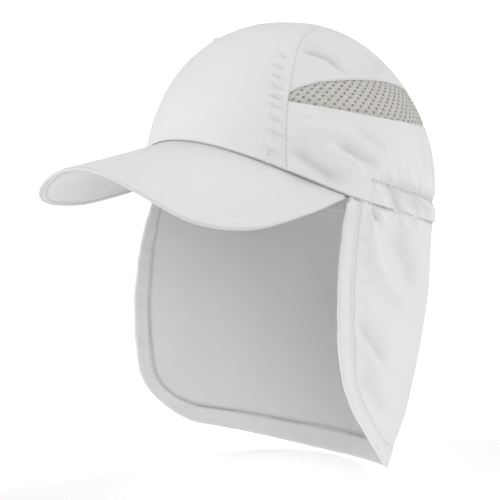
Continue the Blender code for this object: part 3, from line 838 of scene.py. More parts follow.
@dataclass
class Crown:
    """Crown's cloth. One relief lies over all its panels, so that folds run on across the seams."""

    form: CrownForm
    casing_start: float = math.radians(77.0)
    casing_height: float = 14.0 * MM
    groove_depth: float = 2.3 * MM
    groove_width: float = 3.6 * MM
    gather_count: int = 28
    gather_depth: float = 1.5 * MM
    gather_reach: float = 16.0 * MM
    gather_slant: float = 0.9
    wall: float = 0.8 * MM
    row_offset: float = 1.3 * MM
    row_apart: float = 1.5 * MM
    stitch_inset: float = 0.05 * MM
    tape_width: float = 12.0 * MM
    upright_offset: float = math.radians(0.8)
    gather_start: float = math.radians(12.0)
    gather_shade: float = 0.16
    lining_inset: float = 4.35 * MM
    lining_gather: float = 0.5 * MM
    lining_rim: float = 0.12
    flat_round: float = 0.09
    flat_up: float = 0.1
    front_size: tuple = (105.0 * MM, 140.0 * MM)
    top_size: tuple = (340.0 * MM, 118.0 * MM)
    back_size: tuple = (440.0 * MM, 46.0 * MM)
    lining_size: tuple = (300.0 * MM, 13.0 * MM)

    folds: tuple = (
        # height and half width in mm, then places as degrees from the forehead and mm above the rim's plane
        (1.3, 3.6, (41.5, 35.6), (49.2, 35.6), (60.9, 36.1), (68.5, 34.1), (76.8, 33.5)),
        (-1.9, 3.2, (58.5, 31.5), (61.3, 29.0), (65.5, 27.5), (72.6, 24.8), (81.1, 22.8)),
        (2.6, 2.8, (53.6, 27.8), (61.8, 23.4), (66.0, 21.4), (69.6, 18.8), (73.6, 12.9)),
        (-3.4, 4.4, (42.0, 25.0), (46.8, 20.7), (54.9, 15.4), (63.0, 11.4), (67.3, 8.2)),
        (1.4, 4.5, (44.0, 14.0), (50.0, 10.0), (58.0, 6.0)),
        (0.6, 1.8, (41.2, 42.6), (46.8, 41.8), (52.6, 41.8)),
        (-0.9, 2.4, (66.0, 39.5), (74.8, 36.9), (83.2, 33.4)),
        (1.8, 4.0, (106.2, 51.8), (108.3, 41.0), (111.6, 21.9)),
        (-1.8, 5.5, (118.0, 48.0), (128.0, 18.0)),
        (1.2, 6.0, (140.0, 46.0), (148.0, 20.0)),
        (0.7, 2.0, (83.0, 24.0), (88.0, 15.5)),
        (0.5, 1.4, (89.5, 26.5), (91.2, 21.0), (93.4, 15.9)),
        (0.7, 1.3, (94.5, 28.3), (96.7, 22.6), (100.2, 16.7)),
        (0.8, 1.3, (100.0, 28.4), (104.4, 22.5), (108.9, 16.7)),
        (1.2, 1.5, (86.2, 13.1), (92.5, 9.2), (98.2, 5.8)),
        (-1.0, 1.3, (89.2, 13.0), (95.9, 8.5), (101.6, 4.4)),
        (1.5, 1.5, (91.9, 13.1), (99.3, 7.9), (105.1, 3.0)),
        (-1.2, 1.4, (95.2, 12.8), (102.5, 7.8), (108.2, 2.8)),
        (1.5, 1.5, (98.5, 12.5), (105.7, 7.8), (111.3, 2.5)),
        (-1.2, 1.4, (101.6, 12.4), (109.4, 8.0), (115.6, 3.0)),
        (1.4, 1.5, (104.8, 12.4), (113.2, 8.2), (120.0, 3.4)),
        (2.3, 2.2, (37.0, 83.5), (44.0, 84.5), (54.0, 84.0), (60.0, 80.5), (64.0, 76.0)),
        (-2.4, 1.7, (38.0, 79.6), (49.0, 79.8), (56.0, 78.8), (59.5, 76.4), (66.0, 70.8)),
        (-0.9, 0.9, (57.5, 79.0), (62.0, 75.0), (67.0, 70.0)),
        (0.6, 1.5, (42.0, 69.4), (52.5, 66.2)),
        (0.6, 1.5, (43.8, 66.2), (56.1, 62.5)),
        (0.7, 1.6, (76.0, 93.0), (82.0, 84.0), (88.0, 76.0)),
        (-0.7, 1.6, (84.0, 94.0), (90.0, 85.0), (95.0, 75.0)),
        (0.8, 1.6, (90.0, 97.2), (95.2, 89.6), (97.2, 78.2)),
        (-0.7, 1.6, (96.5, 95.3), (104.9, 88.0), (107.7, 78.5)),
        (-0.6, 1.6, (66.0, 88.0), (72.0, 80.0), (80.0, 73.0)),
        (-1.0, 4.0, (128.0, 84.0), (150.0, 63.0)),
        (0.9, 3.5, (150.0, 75.0), (172.0, 58.0)),
    )
    puckers: tuple = (
        # short oblique puckers between the two rows of the front seam, as places of the folds' kind
        ((26.5, 76.0), (39.0, 71.6)),
        ((28.0, 68.5), (38.0, 65.0)),
        ((28.5, 63.0), (39.5, 58.4)),
        ((29.0, 56.2), (39.0, 52.6)),
        ((29.5, 50.4), (39.5, 46.6)),
        ((30.0, 46.5), (40.5, 40.8)),
        ((31.0, 39.2), (42.0, 32.6)),
        ((32.5, 30.8), (42.5, 25.4)),
        ((32.5, 20.6), (41.5, 15.2)),
        ((33.0, 12.4), (40.5, 8.6)),
    )
    rim_lines: tuple = (
        # from and to in degrees from the forehead, height, pitch of the dashes, length of the fading ends
        (-24.0, 114.0, 0.7 * MM, 0.0, 60.0 * MM),
        (62.0, 298.0, 0.3 * MM, 3.4 * MM, 8.0 * MM),
    )
    pucker_valley: tuple = (-1.0, 1.05)
    pucker_ridge: tuple = (0.7, 1.2)
    pucker_step: float = 2.4
    pucker_far: float = 0.15
    pucker_shade: float = 0.26

    plan: SeamPlan = field(default_factory=SeamPlan)
    rows: dict[str, tuple[Array, Array]] = field(default_factory=dict)
    lines: list[SewnLine] = field(default_factory=list)

    def __post_init__(self) -> None:
        """Plans the seams and the rows of stitches."""
        self.lines += self.front_lines()
        for side in (1, -1):
            self.lines += self.side_lines(side)
        self.lines += self.rim_and_casing_lines()

    def beside(self, angles: Array, lifts: Array, distance: float) -> tuple[Array, Array]:
        """Line that runs beside another at a distance to its left, seen from outside."""
        path = self.form.plain(angles, lifts)
        left = unit(np.cross(self.form.normals(angles, lifts), np.gradient(path, axis=0)))
        return self.form.locate(path + left * distance, angles, lifts)

    def front_lines(self) -> list[SewnLine]:
        """Front seam, the tape's far row and the row beside the seam."""
        seam = self.plan.front_path()
        tape = self.beside(*seam, self.tape_width)
        row = self.beside(*seam, self.row_offset)
        self.rows["front_top"] = row
        self.rows["front_tape"] = tape
        seam_path, tape_path, row_path = (self.form.plain(*places) for places in (seam, tape, row))
        return [
            SewnLine(seam_path, groove=0.50 * MM, width=0.45 * MM, pucker=0.14 * MM, spacing=4.4 * MM,
                     reach=2.0 * MM, slant=-0.45, band=0.25 * MM, band_width=self.tape_width,
                     shade=0.45, pitch=STITCH_PITCH, seed=3),
            SewnLine(tape_path, groove=0.35 * MM, width=0.6 * MM, pucker=0.20 * MM, spacing=6.5 * MM,
                     reach=5.0 * MM, slant=-0.45, shade=0.15, pitch=STITCH_PITCH, seed=7),
            SewnLine(row_path, groove=0.32 * MM, width=0.6 * MM, pucker=0.12 * MM, spacing=2.9 * MM,
                     reach=2.0 * MM, shade=0.15, pitch=STITCH_PITCH, seed=5),
        ]

    def side_lines(self, side: int) -> list[SewnLine]:
        """Seams over and under a vent, the folds, the tape's puckers and the casing's upright row.

        Args:
            side: 1 for the wearer's left and -1 for the right.

        Returns:
            The lines of that side.
        """
        form, plan = self.form, self.plan
        turns = np.linspace(plan.front_angle, plan.vent_rear, 260)
        behind = np.linspace(plan.front_angle, math.pi, 300)
        over = (side * turns, plan.top(turns))
        under = (side * behind, plan.floor(behind))
        apart = form.turn_for(self.row_apart)
        self.rows[f"over_{side}"] = (over[0], over[1] + apart)
        self.rows[f"under_{side}"] = (under[0], under[1] - apart)
        lines = [
            SewnLine(form.plain(*over), groove=0.50 * MM, width=0.6 * MM, pucker=0.20 * MM, spacing=4.5 * MM,
                     reach=5.0 * MM, shade=0.05, seed=11 + side),
            SewnLine(form.plain(*under), groove=0.55 * MM, width=0.6 * MM, pucker=0.30 * MM, spacing=4.2 * MM,
                     reach=5.0 * MM, shade=0.3, seed=21 + side),
        ]
        for height, width, *places in self.folds:
            lines.append(fold(form.line(*places) * [side, 1, 1], height, width))
        for places in self.puckers:
            above = [(angle, level + self.pucker_step) for angle, level in places]
            for path, (height, width) in ((places, self.pucker_valley), (above, self.pucker_ridge)):
                depth = height if side > 0 else self.pucker_far * height
                line = form.line(*path) * [side, 1, 1]
                half = 0.5 * float(run_along(line)[-1])
                # painted shade in the puckers' valleys
                dark = self.pucker_shade * max(0.0, -depth)
                lines.append(SewnLine(line, -depth * MM, width * MM, shade=dark, fade=half))
        along = np.full(30, side * (self.casing_start + self.upright_offset))
        upright = form.lift_at(along, np.linspace(0.0, self.casing_height * 1.05, 30))
        self.rows[f"upright_{side}"] = (along, upright)
        lines.append(SewnLine(form.plain(along, upright), groove=0.45 * MM, width=0.9 * MM, pucker=0.3 * MM,
                              spacing=4.0 * MM, reach=3.0 * MM, shade=0.2, pitch=STITCH_PITCH, seed=31 + side))
        return lines

    def rim_and_casing_lines(self) -> list[SewnLine]:
        """Crown's rim, the seams along it shown as dark lines of painted shadow, and the casing's top stitching
        with painted shade in its dashes.
        """
        form = self.form
        rim = np.linspace(0.0, TURN, 900)
        lines = [SewnLine(form.plain(rim, np.zeros_like(rim)), groove=0.20 * MM, width=0.5 * MM, shade=0.05)]
        for begin, end, rise, pitch, fade in self.rim_lines:
            part = np.radians(np.linspace(begin, end, 400))
            path = form.plain(part, form.lift_at(part, np.full_like(part, rise)))
            # painted shadow: near-black lines, dashed at the back, stand for the gaps at the peak's root and
            # the flap's seam
            lines.append(SewnLine(path, groove=0.40 * MM, width=0.50 * MM, shade=1.7, pitch=pitch, fade=fade))
        back = np.linspace(self.casing_start, TURN - self.casing_start, 500)
        stitched = (back, form.lift_at(back, np.full_like(back, self.casing_height)))
        self.rows["casing"] = stitched
        # painted shade in the dashes of the casing's top stitching
        lines.append(SewnLine(form.plain(*stitched), groove=0.70 * MM, width=0.7 * MM, pucker=0.80 * MM,
                              spacing=3.4 * MM, reach=6.0 * MM, slant=0.9, shade=1.3,
                              pitch=STITCH_PITCH, seed=41))
        return lines

    def gathers(self, angle: Array, height: Array) -> Array:
        """Gathers of the casing and the groove of its top stitching, which fade towards its ends."""
        turn = turn_of(angle)
        from_middle = height - 0.5 * self.casing_height
        across = self.form.half_width * turn + self.gather_slant * from_middle
        inside = smooth_step((turn - self.casing_start) / self.gather_start)
        pitch = 2.0 * (math.pi - self.casing_start) * self.form.half_width / self.gather_count
        left = np.mod(angle, TURN) < math.pi
        wide = np.where(left, ripple(across, 0.52 * pitch, 51), ripple(across, 0.52 * pitch, 52))
        fine = np.where(left, ripple(across, 0.28 * pitch, 53), ripple(across, 0.28 * pitch, 54))
        fade = bump(from_middle / self.gather_reach)
        narrow = bump(from_middle / (0.9 * self.casing_height))
        groove = bump((height - self.casing_height) / self.groove_width)
        relief = self.gather_depth * (1.1 * wide * fade + 0.75 * fine * narrow) * inside
        return relief - self.groove_depth * inside * groove

    def relief(self, angle: Array, base: Array, normals: Array) -> tuple[Array, Array]:
        """How far the cloth stands off the plain face at each place, and the painted shade in its hollows and
        along its lines.
        """
        relief = self.gathers(angle, base[:, 2])
        # painted shade in the hollows of the gathers and in the casing's groove
        shade = self.gather_shade * smooth_step(-relief / (1.6 * MM))
        for line in self.lines:
            raised, shaded = line.act(base, normals)
            relief += raised
            shade = np.maximum(shade, shaded)
        return relief, shade

    def place(self, angle: Array, lift: Array, inset: float = 0.0) -> tuple[Array, Array]:
        """Worn places of the cloth's outer face, set in by a distance, and their shade."""
        shape = angle.shape
        angle, lift = angle.ravel(), lift.ravel()
        base = self.form.plain(angle, lift)
        normals = self.form.normals(angle, lift)
        relief, shade = self.relief(angle, base, normals)
        points = self.form.worn(base + normals * (relief - inset)[:, None])
        return points.reshape(*shape, 3), shade.reshape(shape)

    def shares(self, size: tuple[float, float], step_round: float, step_up: float) -> tuple[Array, Array]:
        """Shares round and up a panel of a size, as a row and a column."""
        return spaced(size[0], step_round, EDGE_STEPS)[None, :], spaced(size[1], step_up, EDGE_STEPS)[:, None]

    def front_panel(self) -> Cloth:
        """Front panel between the two legs of the front seam."""
        plan = self.plan
        across, up = self.shares(self.front_size, 1.0 * MM, 1.0 * MM)
        across = 2.0 * across - 1.0
        lift = up * plan.arch_end + 0.0 * across
        corner = on_dome(plan.front(lift), lift)
        middle = on_dome(0.0 * lift, lift + plan.arch_crown * up**4)
        angle, lift = bridge(middle, corner, across + 0.0 * lift)
        points, shade = self.place(angle, lift)
        flat = np.stack([np.sin(angle) * np.cos(lift), lift], axis=-1) * self.form.front_length
        return Cloth("front_panel", points, flat, shade)

    def top_panel(self) -> Cloth:
        """Top panel, from the seams over the vents and round the back up to the front seam."""
        plan = self.plan
        across, up = self.shares(self.top_size, 1.15 * MM, 1.0 * MM)
        side = np.where(across < 0.5, 1.0, -1.0)
        share = np.abs(2.0 * across - 1.0)
        turn = plan.over_turn(share)
        low = on_dome(side * turn, plan.top(turn))
        lift = plan.arch(share)
        arch = on_dome(side * plan.front(lift), lift)
        arch[..., 0] *= np.clip(share / plan.arch_tip, 0.0, 1.0)
        apart = np.arccos(np.clip(np.sum(low * arch, axis=-1), -1.0, 1.0))
        near = apart < 1e-4
        apart = np.where(near, 1.0, apart)
        low_part = np.where(near, 1.0 - up, np.sin((1.0 - up) * apart) / np.sin(apart))
        arch_part = np.where(near, up, np.sin(up * apart) / np.sin(apart))
        angle, lift = off_dome(low_part[..., None] * low + arch_part[..., None] * arch)
        points, shade = self.place(angle, lift)
        wide, high = self.top_size
        flat = np.stack([across * wide + 0.0 * up, up * high + 0.0 * across], axis=-1)
        return Cloth("top_panel", points, flat, shade)

    def laid_flat(self, angle: Array, lift: Array) -> Array:
        """Places of the back's cloth laid flat."""
        return np.stack([angle * self.flat_round, lift * self.flat_up], axis=-1)

    def back_panel(self) -> Cloth:
        """Side and back panel, from the rim up to the seam under the vents, with the gathered casing."""
        plan = self.plan
        across, up = self.shares(self.back_size, 0.85 * MM, 0.8 * MM)
        seam = plan.front(up * plan.vent_base)
        angle = seam + (TURN - 2.0 * seam) * across
        lift = up * plan.floor(turn_of(angle))
        points, shade = self.place(angle, lift)
        return Cloth("back_panel", points, self.laid_flat(angle, lift), shade)

    def casing_lining(self) -> Cloth:
        """Inner wall of the casing, which the elastic draws together."""
        form = self.form
        across = spaced(self.lining_size[0], 1.2 * MM)[None, :]
        up = spaced(self.lining_size[1], 1.0 * MM, (0.4 * MM,))[:, None]
        angle = self.casing_start + (TURN - 2.0 * self.casing_start) * across + 0.0 * up
        top = form.lift_at(angle, self.casing_height + 0.0 * up)
        lift = (self.lining_rim + (1.0 - self.lining_rim) * up) * top
        base, normals = form.plain(angle, lift), form.normals(angle, lift)
        drawn = self.lining_gather * ripple(angle * form.half_width, 3.0 * MM, 61) * bump((up - 0.5) / 0.5)
        points = form.worn(base - normals * (self.lining_inset - drawn)[..., None])
        return Cloth("casing_lining", points, self.laid_flat(angle, lift))

    def stitches(self, material: bpy.types.Material) -> bpy.types.Object:
        """All rows of stitches that show on the crown."""
        rows = Stitching("crown_stitches", Slot.CROWN)
        for angles, lifts in self.rows.values():
            old = run_along(self.form.plain(angles, lifts))
            count = max(2, round(old[-1] / MM) + 1)
            share = np.linspace(0.0, 1.0, count)
            angle = np.interp(share, old / old[-1], angles)
            lift = np.interp(share, old / old[-1], lifts)
            points, _ = self.place(angle, lift, self.stitch_inset)
            rows.row(points, self.form.worn(self.form.normals(angle, lift)))
        return rows.build(material)

    def build(self, cloth: bpy.types.Material, thread: bpy.types.Material) -> None:
        front, top, back, lining = (
            dress(sheet.build(self.wall), cloth, node)
            for sheet, node in (
                (self.front_panel(), "crown_front"),
                (self.top_panel(), "crown_top"),
                (self.back_panel(), "crown_back"),
                (self.casing_lining(), "back_casing"),
            )
        )
        rows = self.stitches(thread)
        log.info("crown: front, top and back panels, casing lining")


@dataclass
class Vents:
    """Mesh vent on each side: a knit with real holes in slanted rows, sewn in under the panels."""

    crown: Crown
    along: float = 5.9 * MM
    rise: float = 2.35 * MM
    hole: float = 0.50 * MM
    columns: int = 8
    rows: int = 4
    shift: int = 3
    tuck: float = 2.6 * MM
    wall: float = 0.5 * MM
    recess: float = 0.35 * MM
    deep: float = 1.15 * MM
    scale: float = 85.0 * MM
    row_slope: float = 0.13
    row_bend: float = 0.60
    bend_run: float = 20.0 * MM
    flutter: float = 0.12 * MM
    # painted shade on the ring of knit round each hole, standing for the dark inside seen through it
    ring_shade: float = 0.85
    sewn_rim: float = 3.0 * MM

    def knit(self) -> tuple[Array, Array, Array, Array]:
        """Places along and up the knit, pulled back round each hole, and which are its ring or its hole."""
        plan, per_metre = self.crown.plan, self.crown.form.turn_for(1.0)
        step_s, step_h = self.along / self.columns, self.rise / self.rows
        length = (plan.vent_rear - plan.vent_front) * self.scale
        height = (plan.vent_depth + plan.vent_lift) / per_metre + 12 * self.tuck
        column, row = np.meshgrid(np.arange(int(length / step_s) + 9), np.arange(int(height / step_h) + 1))
        near_s = np.mod(column - self.shift * (row // self.rows), self.columns) - self.columns // 2
        near_h = np.mod(row, self.rows) - self.rows // 2
        hole = (near_s == 0) & (near_h == 0)
        ring = (np.abs(near_s) <= 1) & (np.abs(near_h) <= 1) & ~hole
        spread = np.where(ring, np.hypot(near_s * step_s, near_h * step_h), 1.0)
        pull = np.where(ring, self.hole / spread - 1.0, 0.0)
        s = (column - 4) * step_s + pull * near_s * step_s
        h = row * step_h - 8 * self.tuck + pull * near_h * step_h
        bend = self.row_slope * s - self.row_bend * self.bend_run * np.exp(-s / self.bend_run)
        return s, h + bend, ring, hole

    def inside(self, turn: Array, lift: Array) -> Array:
        """Distance of each place from the vent's outline, negative outside it."""
        plan, form = self.crown.plan, self.crown.form
        up = np.minimum(lift - plan.floor(turn), plan.top(turn) - lift) / form.turn_for(1.0)
        along = np.minimum(turn - plan.front(lift), plan.vent_rear - turn) * self.scale
        return np.minimum(up, along)

    def place(self, turn: Array, lift: Array, inside: Array, flutter: Array) -> Array:
        """Worn places of the knit, which lies deeper near its outline and takes part in the crown's folds."""
        form = self.crown.form
        recess = self.recess + (self.deep - self.recess) * (1.0 - smooth_step(inside / self.sewn_rim))
        angle, level = turn.ravel(), lift.ravel()
        base, normals = form.plain(angle, level), form.normals(angle, level)
        relief = np.zeros_like(angle)
        for line in self.crown.lines:
            if line.fade:
                relief += line.act(base, normals)[0]
        relief += flutter.ravel()
        points = form.worn(base + normals * (relief - recess.ravel())[:, None])
        return points.reshape(*turn.shape, 3)

    def build(self, side: int, node: str, finish: bpy.types.Material) -> bpy.types.Object:
        """Makes one vent.

        Args:
            side: 1 for the wearer's left and -1 for the right.
            node: the solid that the vent stands for.
            finish: the knit's material.

        Returns:
            The finished piece.
        """
        plan = self.crown.plan
        s, h, ring, hole = self.knit()
        turn = plan.vent_front + s / self.scale
        lift = plan.vent_base + h * self.crown.form.turn_for(1.0)
        inside = self.inside(turn, lift)
        flutter = self.flutter * ripple(s + 0.6 * h, 3.1 * MM, 71)
        points = self.place(turn, lift, inside, flutter) * [side, 1, 1]
        cloth = Cloth("vent_left" if side > 0 else "vent_right", points, np.stack([s, h], axis=-1),
                      np.where(ring, self.ring_shade, 0.0))
        corners = [(slice(None, -1), slice(None, -1)), (slice(1, None), slice(None, -1)),
                   (slice(None, -1), slice(1, None)), (slice(1, None), slice(1, None))]
        least = np.minimum.reduce([inside[corner] for corner in corners])
        open_cells = np.logical_or.reduce([hole[corner] for corner in corners])
        cloth.keep = (least > -self.tuck) & ~(open_cells & (least >= -0.2 * MM))
        if side < 0:
            for name in ("points", "flat", "shade", "keep"):
                setattr(cloth, name, getattr(cloth, name)[:, ::-1])
        piece = dress(cloth.build(self.wall, 60.0), finish, node)
        log.info("%s: %d faces", piece.name, len(piece.data.polygons))
        return piece


@dataclass(frozen=True)
class PeakForm:
    """Peak: an arched plate between the crown's rim and a curved front edge."""

    form: CrownForm
    angle: float = math.radians(67.4)
    reach: float = 73.0 * MM
    inset: float = 9.5 * MM
    slope: float = 0.31
    arch: float = 47.0 * MM
    arch_power: float = 1.84
    root_drop: float = 6.0 * MM
    wall: float = 2.4 * MM
    root_depth: float = 1.1 * MM
    root_gap: float = 0.25 * MM
    tip: float = 0.985
    end_start: float = 0.6
    edge_table: tuple[tuple[float, float, float], ...] = (
        # share round the edge, share of the half-width, share of the reach ahead of the crown
        (0.0, 0.000, 1.000),
        (0.2, 0.430, 0.926),
        (0.4, 0.811, 0.656),
        (0.6, 0.972, 0.167),
        (0.8, 1.000, -0.496),
    )

    def through(self, knots: Array, values: Array, share: Array, odd: bool) -> Array:
        """Smooth curve through values at knots from 0 to 1, mirrored or turned over for negative shares."""
        sign = -1.0 if odd else 1.0
        all_knots = np.concatenate([-knots[:0:-1], knots])
        all_values = np.concatenate([sign * values[:0:-1], values])
        slopes = np.gradient(all_values, all_knots)
        place = np.clip(np.searchsorted(all_knots, share) - 1, 0, len(all_knots) - 2)
        gap = all_knots[place + 1] - all_knots[place]
        t = (share - all_knots[place]) / gap
        start, end = all_values[place], all_values[place + 1]
        start_slope, end_slope = slopes[place] * gap, slopes[place + 1] * gap
        first = (2 * t**3 - 3 * t**2 + 1) * start + (t**3 - 2 * t**2 + t) * start_slope
        return first + (3 * t**2 - 2 * t**3) * end + (t**3 - t**2) * end_slope

    def height(self, x: Array, y: Array) -> Array:
        """Height of the arched edge over a place in plan."""
        sag = self.arch * np.abs(x / self.form.half_width) ** self.arch_power
        return self.form.front_rise - self.root_drop + self.slope * (y + self.form.front_length) - sag

    def edge(self, share: Array) -> Array:
        """Front edge; share goes from -1 at its right end to 1 at its left."""
        table = np.array(self.edge_table)
        root = self.form.plain(np.array([self.angle]), np.array([0.0]))[0]
        knots = np.append(table[:, 0], 1.0)
        widths = np.append(table[:, 1] * (self.form.half_width - self.inset), root[0])
        lengths = np.append(-self.form.front_length - table[:, 2] * self.reach, root[1])
        x = self.through(knots, widths, share, True)
        y = self.through(knots, lengths, share, False)
        end_lift = root[2] - self.height(root[0], root[1])
        near_end = np.clip((np.abs(share) - self.end_start) / (1.0 - self.end_start), 0.0, 1.0)
        return np.stack([x, y, self.height(x, y) + end_lift * near_end**2], axis=-1)

    def root(self, share: Array) -> Array:
        """Back edge, just inside the crown's rim."""
        angle = share * self.angle
        level = np.zeros_like(share)
        inward = self.form.normals(angle, level) * self.root_depth
        return self.form.plain(angle, level) - inward - np.array([0.0, 0.0, self.root_gap])

    def span(self, share: Array) -> Array:
        """Distance from the front edge back to the rim."""
        return np.linalg.norm(self.root(share) - self.edge(share), axis=-1)

    def face(self, share: Array, up: Array) -> Array:
        """Plain top face, from its front edge at 0 back to the rim at 1."""
        edge, root = self.edge(share), self.root(share)
        return edge + (root - edge) * up[..., None]

    def normals(self, share: Array, up: Array) -> Array:
        """Upward unit normals of the plain top face."""
        step = 0.004
        around = self.face(share + step, up) - self.face(share - step, up)
        back = self.face(share, up + step) - self.face(share, up - step)
        return unit(np.cross(around, back))


@dataclass
class Peak:
    """Peak's cloth over its board: a top cover that wraps the edge, an under cover and rows of stitches."""

    form: PeakForm
    edge_round: float = 1.25 * MM
    under_inset: float = 3.5 * MM
    under_wall: float = 0.6 * MM
    # painted shade: a dark band along the board's edge and a dark line where the peak meets the crown
    edge_shade: float = 0.26
    root_shade: float = 1.3
    row_count: int = 8
    row_pitch: float = 4.0 * MM
    row_groove: float = 0.16 * MM
    row_width: float = 0.75 * MM
    flange: float = 5.0 * MM
    under_gap: float = 0.12 * MM
    under_tip: float = 0.985
    under_seam: float = 0.30 * MM
    stitch_sink: float = 0.05 * MM

    edge_line: Array = field(init=False)

    def __post_init__(self) -> None:
        """Lays places along the front edge, to measure from."""
        self.edge_line = resample(self.form.edge(np.linspace(-1.0, 1.0, 600)), 0.7 * MM)

    def to_edge(self, points: Array) -> Array:
        """Distance of each place from the front edge."""
        flat = points.reshape(-1, 3)
        gap = flat - self.edge_line[nearest(flat, self.edge_line)]
        return np.linalg.norm(gap, axis=1).reshape(points.shape[:-1])

    def rows_relief(self, distance: Array) -> Array:
        """Shallow grooves along the rows of stitches."""
        relief = np.zeros_like(distance)
        for row in range(1, self.row_count + 1):
            relief -= self.row_groove * bump((distance - row * self.row_pitch) / self.row_width)
        return relief

    def side(self, share: Array, up: Array, under: bool) -> tuple[Array, Array]:
        """Outer places of the covered board's top or underside, in the cap's frame, and their painted shade."""
        form = self.form
        base, normals = form.face(share, up), form.normals(share, up)
        distance = self.to_edge(base)
        relief = self.rows_relief(distance)
        rounded = self.edge_round**2 - np.clip(self.edge_round - distance, 0.0, None) ** 2
        fall = self.edge_round - np.sqrt(np.maximum(rounded, 0.0))
        if under:
            # painted shade on the underside next to the front edge
            shade = self.edge_shade * smooth_step(2.0 - distance / MM)
            return base - normals * (form.wall - fall + relief)[..., None], shade
        root_gap = np.linalg.norm(form.root(share) - base, axis=-1)
        # painted shadow along the root, darkest towards the sides
        deep = 0.1 + self.root_shade * smooth_step((np.abs(share) - 0.15) / 0.5)
        shade = deep * bump(root_gap / (0.6 * MM)) + self.edge_shade * smooth_step(1.4 - distance / MM)
        return base + normals * (relief - fall)[..., None], shade

    def cover(self) -> bpy.types.Object:
        """Top cover round the board: over the top, round the front edge and back along the underside."""
        form = self.form
        across = (2.0 * spaced(240.0 * MM, 0.95 * MM, (0.5 * MM,)) - 1.0) * form.tip
        back = spaced(80.0 * MM, 0.85 * MM, (0.15 * MM, 0.4 * MM, 0.8 * MM, 1.3 * MM))[::-1]
        top, top_shade = self.side(*np.meshgrid(across, back), False)
        low, low_shade = self.side(*np.meshgrid(across, back[::-1]), True)
        rise = np.linspace(1.0, 0.2, 4)[:, None]
        root_share = np.broadcast_to(across, (4, len(across)))
        root = form.root(root_share)
        inward = form.form.normals(root_share * form.angle, 0.0 * root_share)
        up_in = np.array([0.0, 0.0, self.flange])
        flange_top = root - inward * (0.15 * MM) + up_in * rise[..., None]
        flange_low = root - inward * (0.75 * MM) + up_in * rise[::-1][..., None]
        plain = np.zeros_like(root_share)
        loop = np.concatenate([flange_top, top, low[1:], flange_low, flange_top[:1]])[::-1]
        shade = np.concatenate([plain, top_shade, low_shade[1:], plain, plain[:1]])[::-1]
        steps = np.linalg.norm(np.diff(loop, axis=0, prepend=loop[:1]), axis=-1)
        run = np.cumsum(steps, axis=0)
        flat = np.stack([np.broadcast_to(across * 0.12, run.shape), run], axis=-1)
        piece = Cloth("peak_cover", form.form.worn(loop), flat, shade).build(0.0, 60.0)
        self.close(piece.data)
        return piece

    def close(self, mesh: bpy.types.Mesh) -> None:
        """Joins the cover's first and last rows and closes its two ends."""
        builder = bmesh.new()
        builder.from_mesh(mesh)
        bmesh.ops.remove_doubles(builder, verts=builder.verts, dist=0.005 * MM)
        bmesh.ops.holes_fill(builder, edges=[edge for edge in builder.edges if edge.is_boundary], sides=0)
        bmesh.ops.recalc_face_normals(builder, faces=builder.faces)
        builder.to_mesh(mesh)
        builder.free()

    def under_cover(self) -> Cloth:
        """Lower cover, whose edge is sewn a little inside the front edge."""
        form = self.form
        across = (2.0 * spaced(240.0 * MM, 1.0 * MM, (0.4 * MM, 0.9 * MM)) - 1.0) * form.tip * self.under_tip
        back = spaced(76.0 * MM, 0.85 * MM, (0.3 * MM, 0.7 * MM))
        share, up = np.meshgrid(across, back)
        start = np.clip(self.under_inset / form.span(share), 0.0, 0.45)
        up = start + (self.under_tip - start) * up
        base, normals = form.face(share, up), form.normals(share, up)
        distance = self.to_edge(base)
        from_seam = distance - self.under_inset
        drop = form.wall + self.under_gap + self.under_wall - self.under_seam * bump(from_seam / (0.6 * MM))
        points = base - normals * (drop + self.rows_relief(distance))[..., None]
        # painted shade along the under cover's sewn edge
        shade = 0.4 * bump(from_seam / (0.7 * MM))
        flat = np.stack([share * 0.12, up * 0.08], axis=-1)
        return Cloth("peak_under_cover", form.form.worn(points)[::-1], flat[::-1], shade[::-1])

    def stitches(self, material: bpy.types.Material) -> bpy.types.Object:
        """Rows of stitches on both faces, parallel to the front edge."""
        rows = Stitching("peak_stitches", Slot.PEAK, radius=0.17 * MM)
        form = self.form
        shares = np.linspace(-form.tip, form.tip, 500)
        reach = form.span(shares)
        for number in range(1, self.row_count + 1):
            offset = number * self.row_pitch
            up = np.clip(offset / reach, 0.0, 1.0)
            for _ in range(6):
                distance = self.to_edge(form.face(shares, up))
                up = np.clip(up + (offset - distance) / reach, 0.0, 1.0)
            kept = (up < 0.93) & (reach > offset + 4.0 * MM)
            if kept.sum() < 20:
                continue
            share, level = shares[kept], up[kept]
            for under, sign, stand in ((False, 1.0, 0.0), (True, -1.0, self.under_wall + self.under_gap)):
                places, _ = self.side(share, level, under)
                normals = form.normals(share, level) * sign
                places = places + normals * (stand - self.stitch_sink)
                rows.row(form.form.worn(places), form.form.worn(normals))
        return rows.build(material)

    def build(self, cloth: bpy.types.Material, thread: bpy.types.Material) -> None:
        top = dress(self.cover(), cloth, "peak_top")
        under = dress(self.under_cover().build(self.under_wall), cloth, "peak_under")
        rows = self.stitches(thread)
        log.info("peak: cover, under cover and %d rows of stitches a side", self.row_count)


